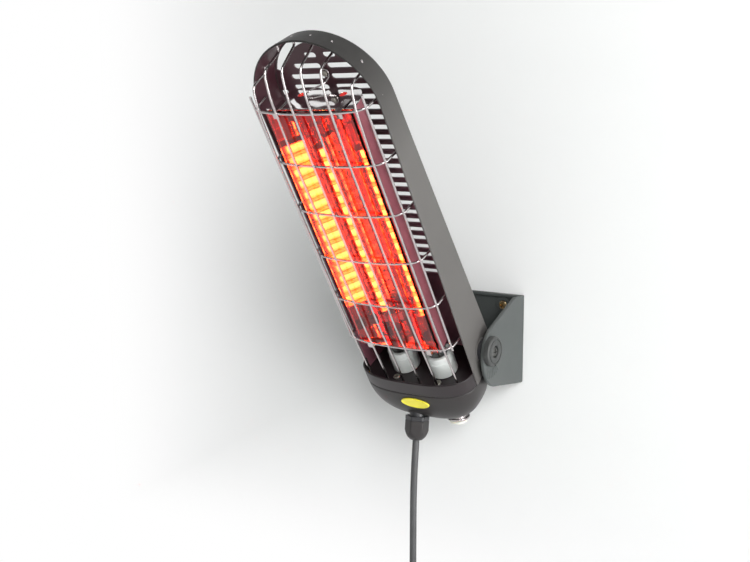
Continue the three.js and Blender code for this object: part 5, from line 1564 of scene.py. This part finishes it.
class HEATER_OT_pivots(bpy.types.Operator):
    """Makes the round pivot caps with their groove and pointer notch, and their screws."""

    bl_idname = "heater.pivots"
    bl_label = "Pivot caps"

    def execute(self, context):
        head, b = context.scene.heater_head, context.scene.heater_bracket
        r, rise, outer = b.cap, b.cap_rise, b.outer + GAP
        spigot = b.outer - head.rim_half + 0.0002
        hole, hub, groove_in, groove_out = 0.0028, 0.006, 0.0108, 0.0122
        screw_seat, sink = rise - 0.003, rise - 0.0009
        profile = [(hole, -spigot), (hub, -spigot), (hub, 0), (r, 0), (r, rise - 0.0008)]
        profile += [(r - 0.0012, rise), (groove_out, rise), (groove_out - 0.0001, sink)]
        profile += [(groove_in + 0.0001, sink), (groove_in, rise), (hub, rise)]
        profile += [(hub - 0.0002, screw_seat), (hole, screw_seat)]
        screw_end = 0.0515  # past the nut, inside the shell
        for side, name in SIDES:
            outward, notch = (side, 0, 0), self.notch(side, r, rise)
            place, bent = (side * outer, -head.reach, 0), rounded(profile, 0.0003, 3)
            cap = Skin().turn(bent, place, outward, 120, notch, ring=True)
            seat = outer + screw_seat + GAP / 2
            place = (side * seat, -head.reach, 0)
            screw = screw_head(Skin(), place, outward, 0.0048, 0.0026)
            screw.turn(rod(0.0025, 0, seat - screw_end), place, (-side, 0, 0), 24)
            for skin, made, key, slot, node_name in (
                (cap, "pivot_dial_", "cap", "charcoal_paint", "pivot_cap_"),
                (screw, "pivot_bolt_", "blued", "zinc_steel", "pivot_screw_"),
            ):
                place_piece(skin.piece(made + name), HEAD, finishes()[key], slot, node_name + name)
        return {"FINISHED"}

    def notch(self, side, r, rise):
        """A shape for lathe(): the cap's rim is cut in near its top, where it points down."""
        e1, e2 = frame_across((side, 0, 0))
        down = math.atan2(-e2[2], -e1[2])
        depth, half_width, from_radius = 0.0022, 0.0015, 0.0128

        def shape(radius, height, angle):
            off = np.abs((angle - down + math.pi) % TURN - math.pi) * r
            near = np.clip((half_width - off) / 0.0004, 0, 1)
            tall = np.clip((height - (rise - depth)) / 0.0004, 0, 1)
            return np.where(radius > from_radius, radius - depth * near * tall, radius), height

        return shape


class HEATER_OT_inner_parts(bpy.types.Operator):
    """Finishes the model's own nodes that stay: washers, nuts, clips, straps and wiring."""

    bl_idname = "heater.inner_parts"
    bl_label = "Inner parts"

    def execute(self, context):
        look = finishes()
        chosen = {
            "black": ["pivot_washer_left", "pivot_washer_right", "gland_locknut"],
            "zinc": ["pivot_nut_left", "pivot_nut_right", "reflector_stay_1", "reflector_stay_2"]
            + ["plug_earth_clip_1", "plug_earth_clip_2"],
            "chrome": [f"glass_clip_{end}_{side}" for end in ("top", "bottom") for _, side in SIDES],
            "ceramic": ["terminal_block"],
            "sleeve": ["lead_lamp_left", "lead_lamp_right", "lead_lamp_link"],
        }
        for key, names in chosen.items():
            for part in (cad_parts[name] for name in names):
                if not part.material_slots:
                    part.data.materials.append(None)
                part.material_slots[0].material = look[key]
        return {"FINISHED"}


# ---- Stage ----


def stage_material(context):
    """The wall's paint: a faint cloud of colour. For the camera, gloss and glass it fades to white
    low down and at the far left, by the wall's own Object coordinates, and is clear from behind."""
    studio = context.scene.heater_studio
    made = finish("studio_wall", studio.wall, 0.995, (0.85, 0.95), 1.2, 60.0, 0.00001)
    tree = made.node_tree
    principled = tree.nodes["Principled BSDF"]
    place = parts(tree, object_place(tree))
    fade_down, fade_left = (-0.08, -0.30), (-0.16, -0.54)
    low, left = spread(tree, place["Z"], *fade_down), spread(tree, place["X"], *fade_left)
    for fading in (low, left):
        fading.node.interpolation_type = "SMOOTHSTEP"
    ray = node(tree, "LightPath").outputs
    seen = reckon(tree, "MAXIMUM", ray["Is Camera Ray"], ray["Is Glossy Ray"])
    seen = reckon(tree, "MAXIMUM", seen, ray["Is Transmission Ray"])
    fade = reckon(tree, "MULTIPLY", reckon(tree, "MAXIMUM", low, left), seen)
    white = node(tree, "Emission").outputs["Emission"]
    shown = blend_shaders(tree, fade, principled.outputs["BSDF"], white)
    behind = reckon(tree, "MULTIPLY", node(tree, "NewGeometry").outputs["Backfacing"], seen)
    clear = node(tree, "BsdfTransparent").outputs["BSDF"]
    shown = blend_shaders(tree, behind, shown, clear)
    tree.links.new(shown, tree.nodes["Material Output"].inputs["Surface"])
    return made


class HEATER_OT_stage(bpy.types.Operator):
    """Builds the plain pale wall and floor, and the soft studio light."""

    bl_idname = "heater.stage"
    bl_label = "Studio"

    def execute(self, context):
        studio = context.scene.heater_studio
        radius, floor, reach, behind = 0.4, -0.9, 16.0, 0.0006
        bend = np.linspace(0, math.pi / 2, 12)
        corner = arc(-radius, floor + radius, radius, -bend)
        y, z = np.concatenate([[(0, reach)], corner, [(-6.0, floor)]]).T[..., None]
        points = np.stack(np.broadcast_arrays(np.linspace(reach, -reach, 9), y + behind, z), -1)
        mesh = bpy.data.meshes.new("studio_wall")
        mesh.from_pydata(points.reshape(-1, 3).tolist(), [], grid_faces(*points.shape[:2]).tolist())
        mesh.shade_smooth()
        wall = bpy.data.objects.new("studio_wall", mesh)
        context.scene.collection.objects.link(wall)
        wall.data.materials.append(stage_material(context))
        self.light("key", (1.58, -1.65, 1.00), 1.05, studio.key)
        self.light("side", (2.4, -0.42, 0.0), 1.5, studio.side)
        world = bpy.data.worlds.new("studio")
        world.use_nodes = True
        context.scene.world = world
        self.room_light(world.node_tree, studio.sky)
        context.scene.view_settings.view_transform = "Standard"
        return {"FINISHED"}

    def room_light(self, tree, level):
        """The room's light by direction: full at eye level, a tenth high above, half below."""
        background = tree.nodes["Background"]
        background.inputs["Color"].default_value = (1, 1, 1, 1)
        height = parts(tree, node(tree, "TexCoord").outputs["Generated"])["Z"]
        above = spread(tree, height, 0.0, 0.8, level, level * 0.1)
        below = spread(tree, height, -1.0, 0.0, level * 0.5, level)
        feed(tree, background.inputs["Strength"], reckon(tree, "MINIMUM", above, below))

    def light(self, name, place, size, power):
        """A square soft light that looks at the heater."""
        data = bpy.data.lights.new(name, "AREA")
        data.size = size
        data.energy = power
        lamp = bpy.data.objects.new(name, data)
        lamp.location = place
        toward = Vector(LIT_POINT) - Vector(place)
        lamp.rotation_euler = toward.to_track_quat("-Z", "Y").to_euler()
        bpy.context.scene.collection.objects.link(lamp)


class HEATER_PT_panel(bpy.types.Panel):
    """Lists the sizes, the colours and the operators."""

    bl_label = "Electric bar heater"
    bl_idname = "HEATER_PT_panel"
    bl_space_type = "VIEW_3D"
    bl_region_type = "UI"
    bl_category = "Heater"

    def draw(self, context):
        layout = self.layout
        for operator in OPERATORS:
            layout.operator(operator.bl_idname)
        for name, group in sizes().items():
            box = layout.box()
            box.label(text=name.replace("_", " ").title())
            for key in group.bl_rna.properties.keys():
                if key not in ("rna_type", "name"):
                    box.prop(group, key)


PROPERTY_GROUPS = {
    "head": HeaterHeadSizes,
    "bracket": HeaterBracketSizes,
    "guard": HeaterGuardSizes,
    "reflector": HeaterReflectorSizes,
    "lamps": HeaterLampSizes,
    "bowl": HeaterBowlSizes,
    "cord": HeaterCordSizes,
    "finishes": HeaterFinishes,
    "studio": HeaterStudio,
}
OPERATORS = (
    HEATER_OT_camera,
    HEATER_OT_cord,
    HEATER_OT_body_shell,
    HEATER_OT_bracket,
    HEATER_OT_reflector,
    HEATER_OT_glass,
    HEATER_OT_lamps,
    HEATER_OT_guard,
    HEATER_OT_bottom,
    HEATER_OT_gland,
    HEATER_OT_switch,
    HEATER_OT_pivots,
    HEATER_OT_inner_parts,
    HEATER_OT_stage,
)


def register():
    for group in PROPERTY_GROUPS.values():
        bpy.utils.register_class(group)
    for name, group in PROPERTY_GROUPS.items():
        setattr(bpy.types.Scene, "heater_" + name, PointerProperty(type=group))
    for operator in OPERATORS:
        bpy.utils.register_class(operator)
    bpy.utils.register_class(HEATER_PT_panel)


def unregister():
    bpy.utils.unregister_class(HEATER_PT_panel)
    for operator in reversed(OPERATORS):
        bpy.utils.unregister_class(operator)
    for name in PROPERTY_GROUPS:
        delattr(bpy.types.Scene, "heater_" + name)
    for group in reversed(list(PROPERTY_GROUPS.values())):
        bpy.utils.unregister_class(group)


def main():
    """Builds everything in order."""
    register()
    for operator in OPERATORS:
        group, name = operator.bl_idname.split(".")
        if getattr(getattr(bpy.ops, group), name)() != {"FINISHED"}:
            raise RuntimeError(f"{operator.bl_label} was not finished")


if __name__ == "__main__":
    main()
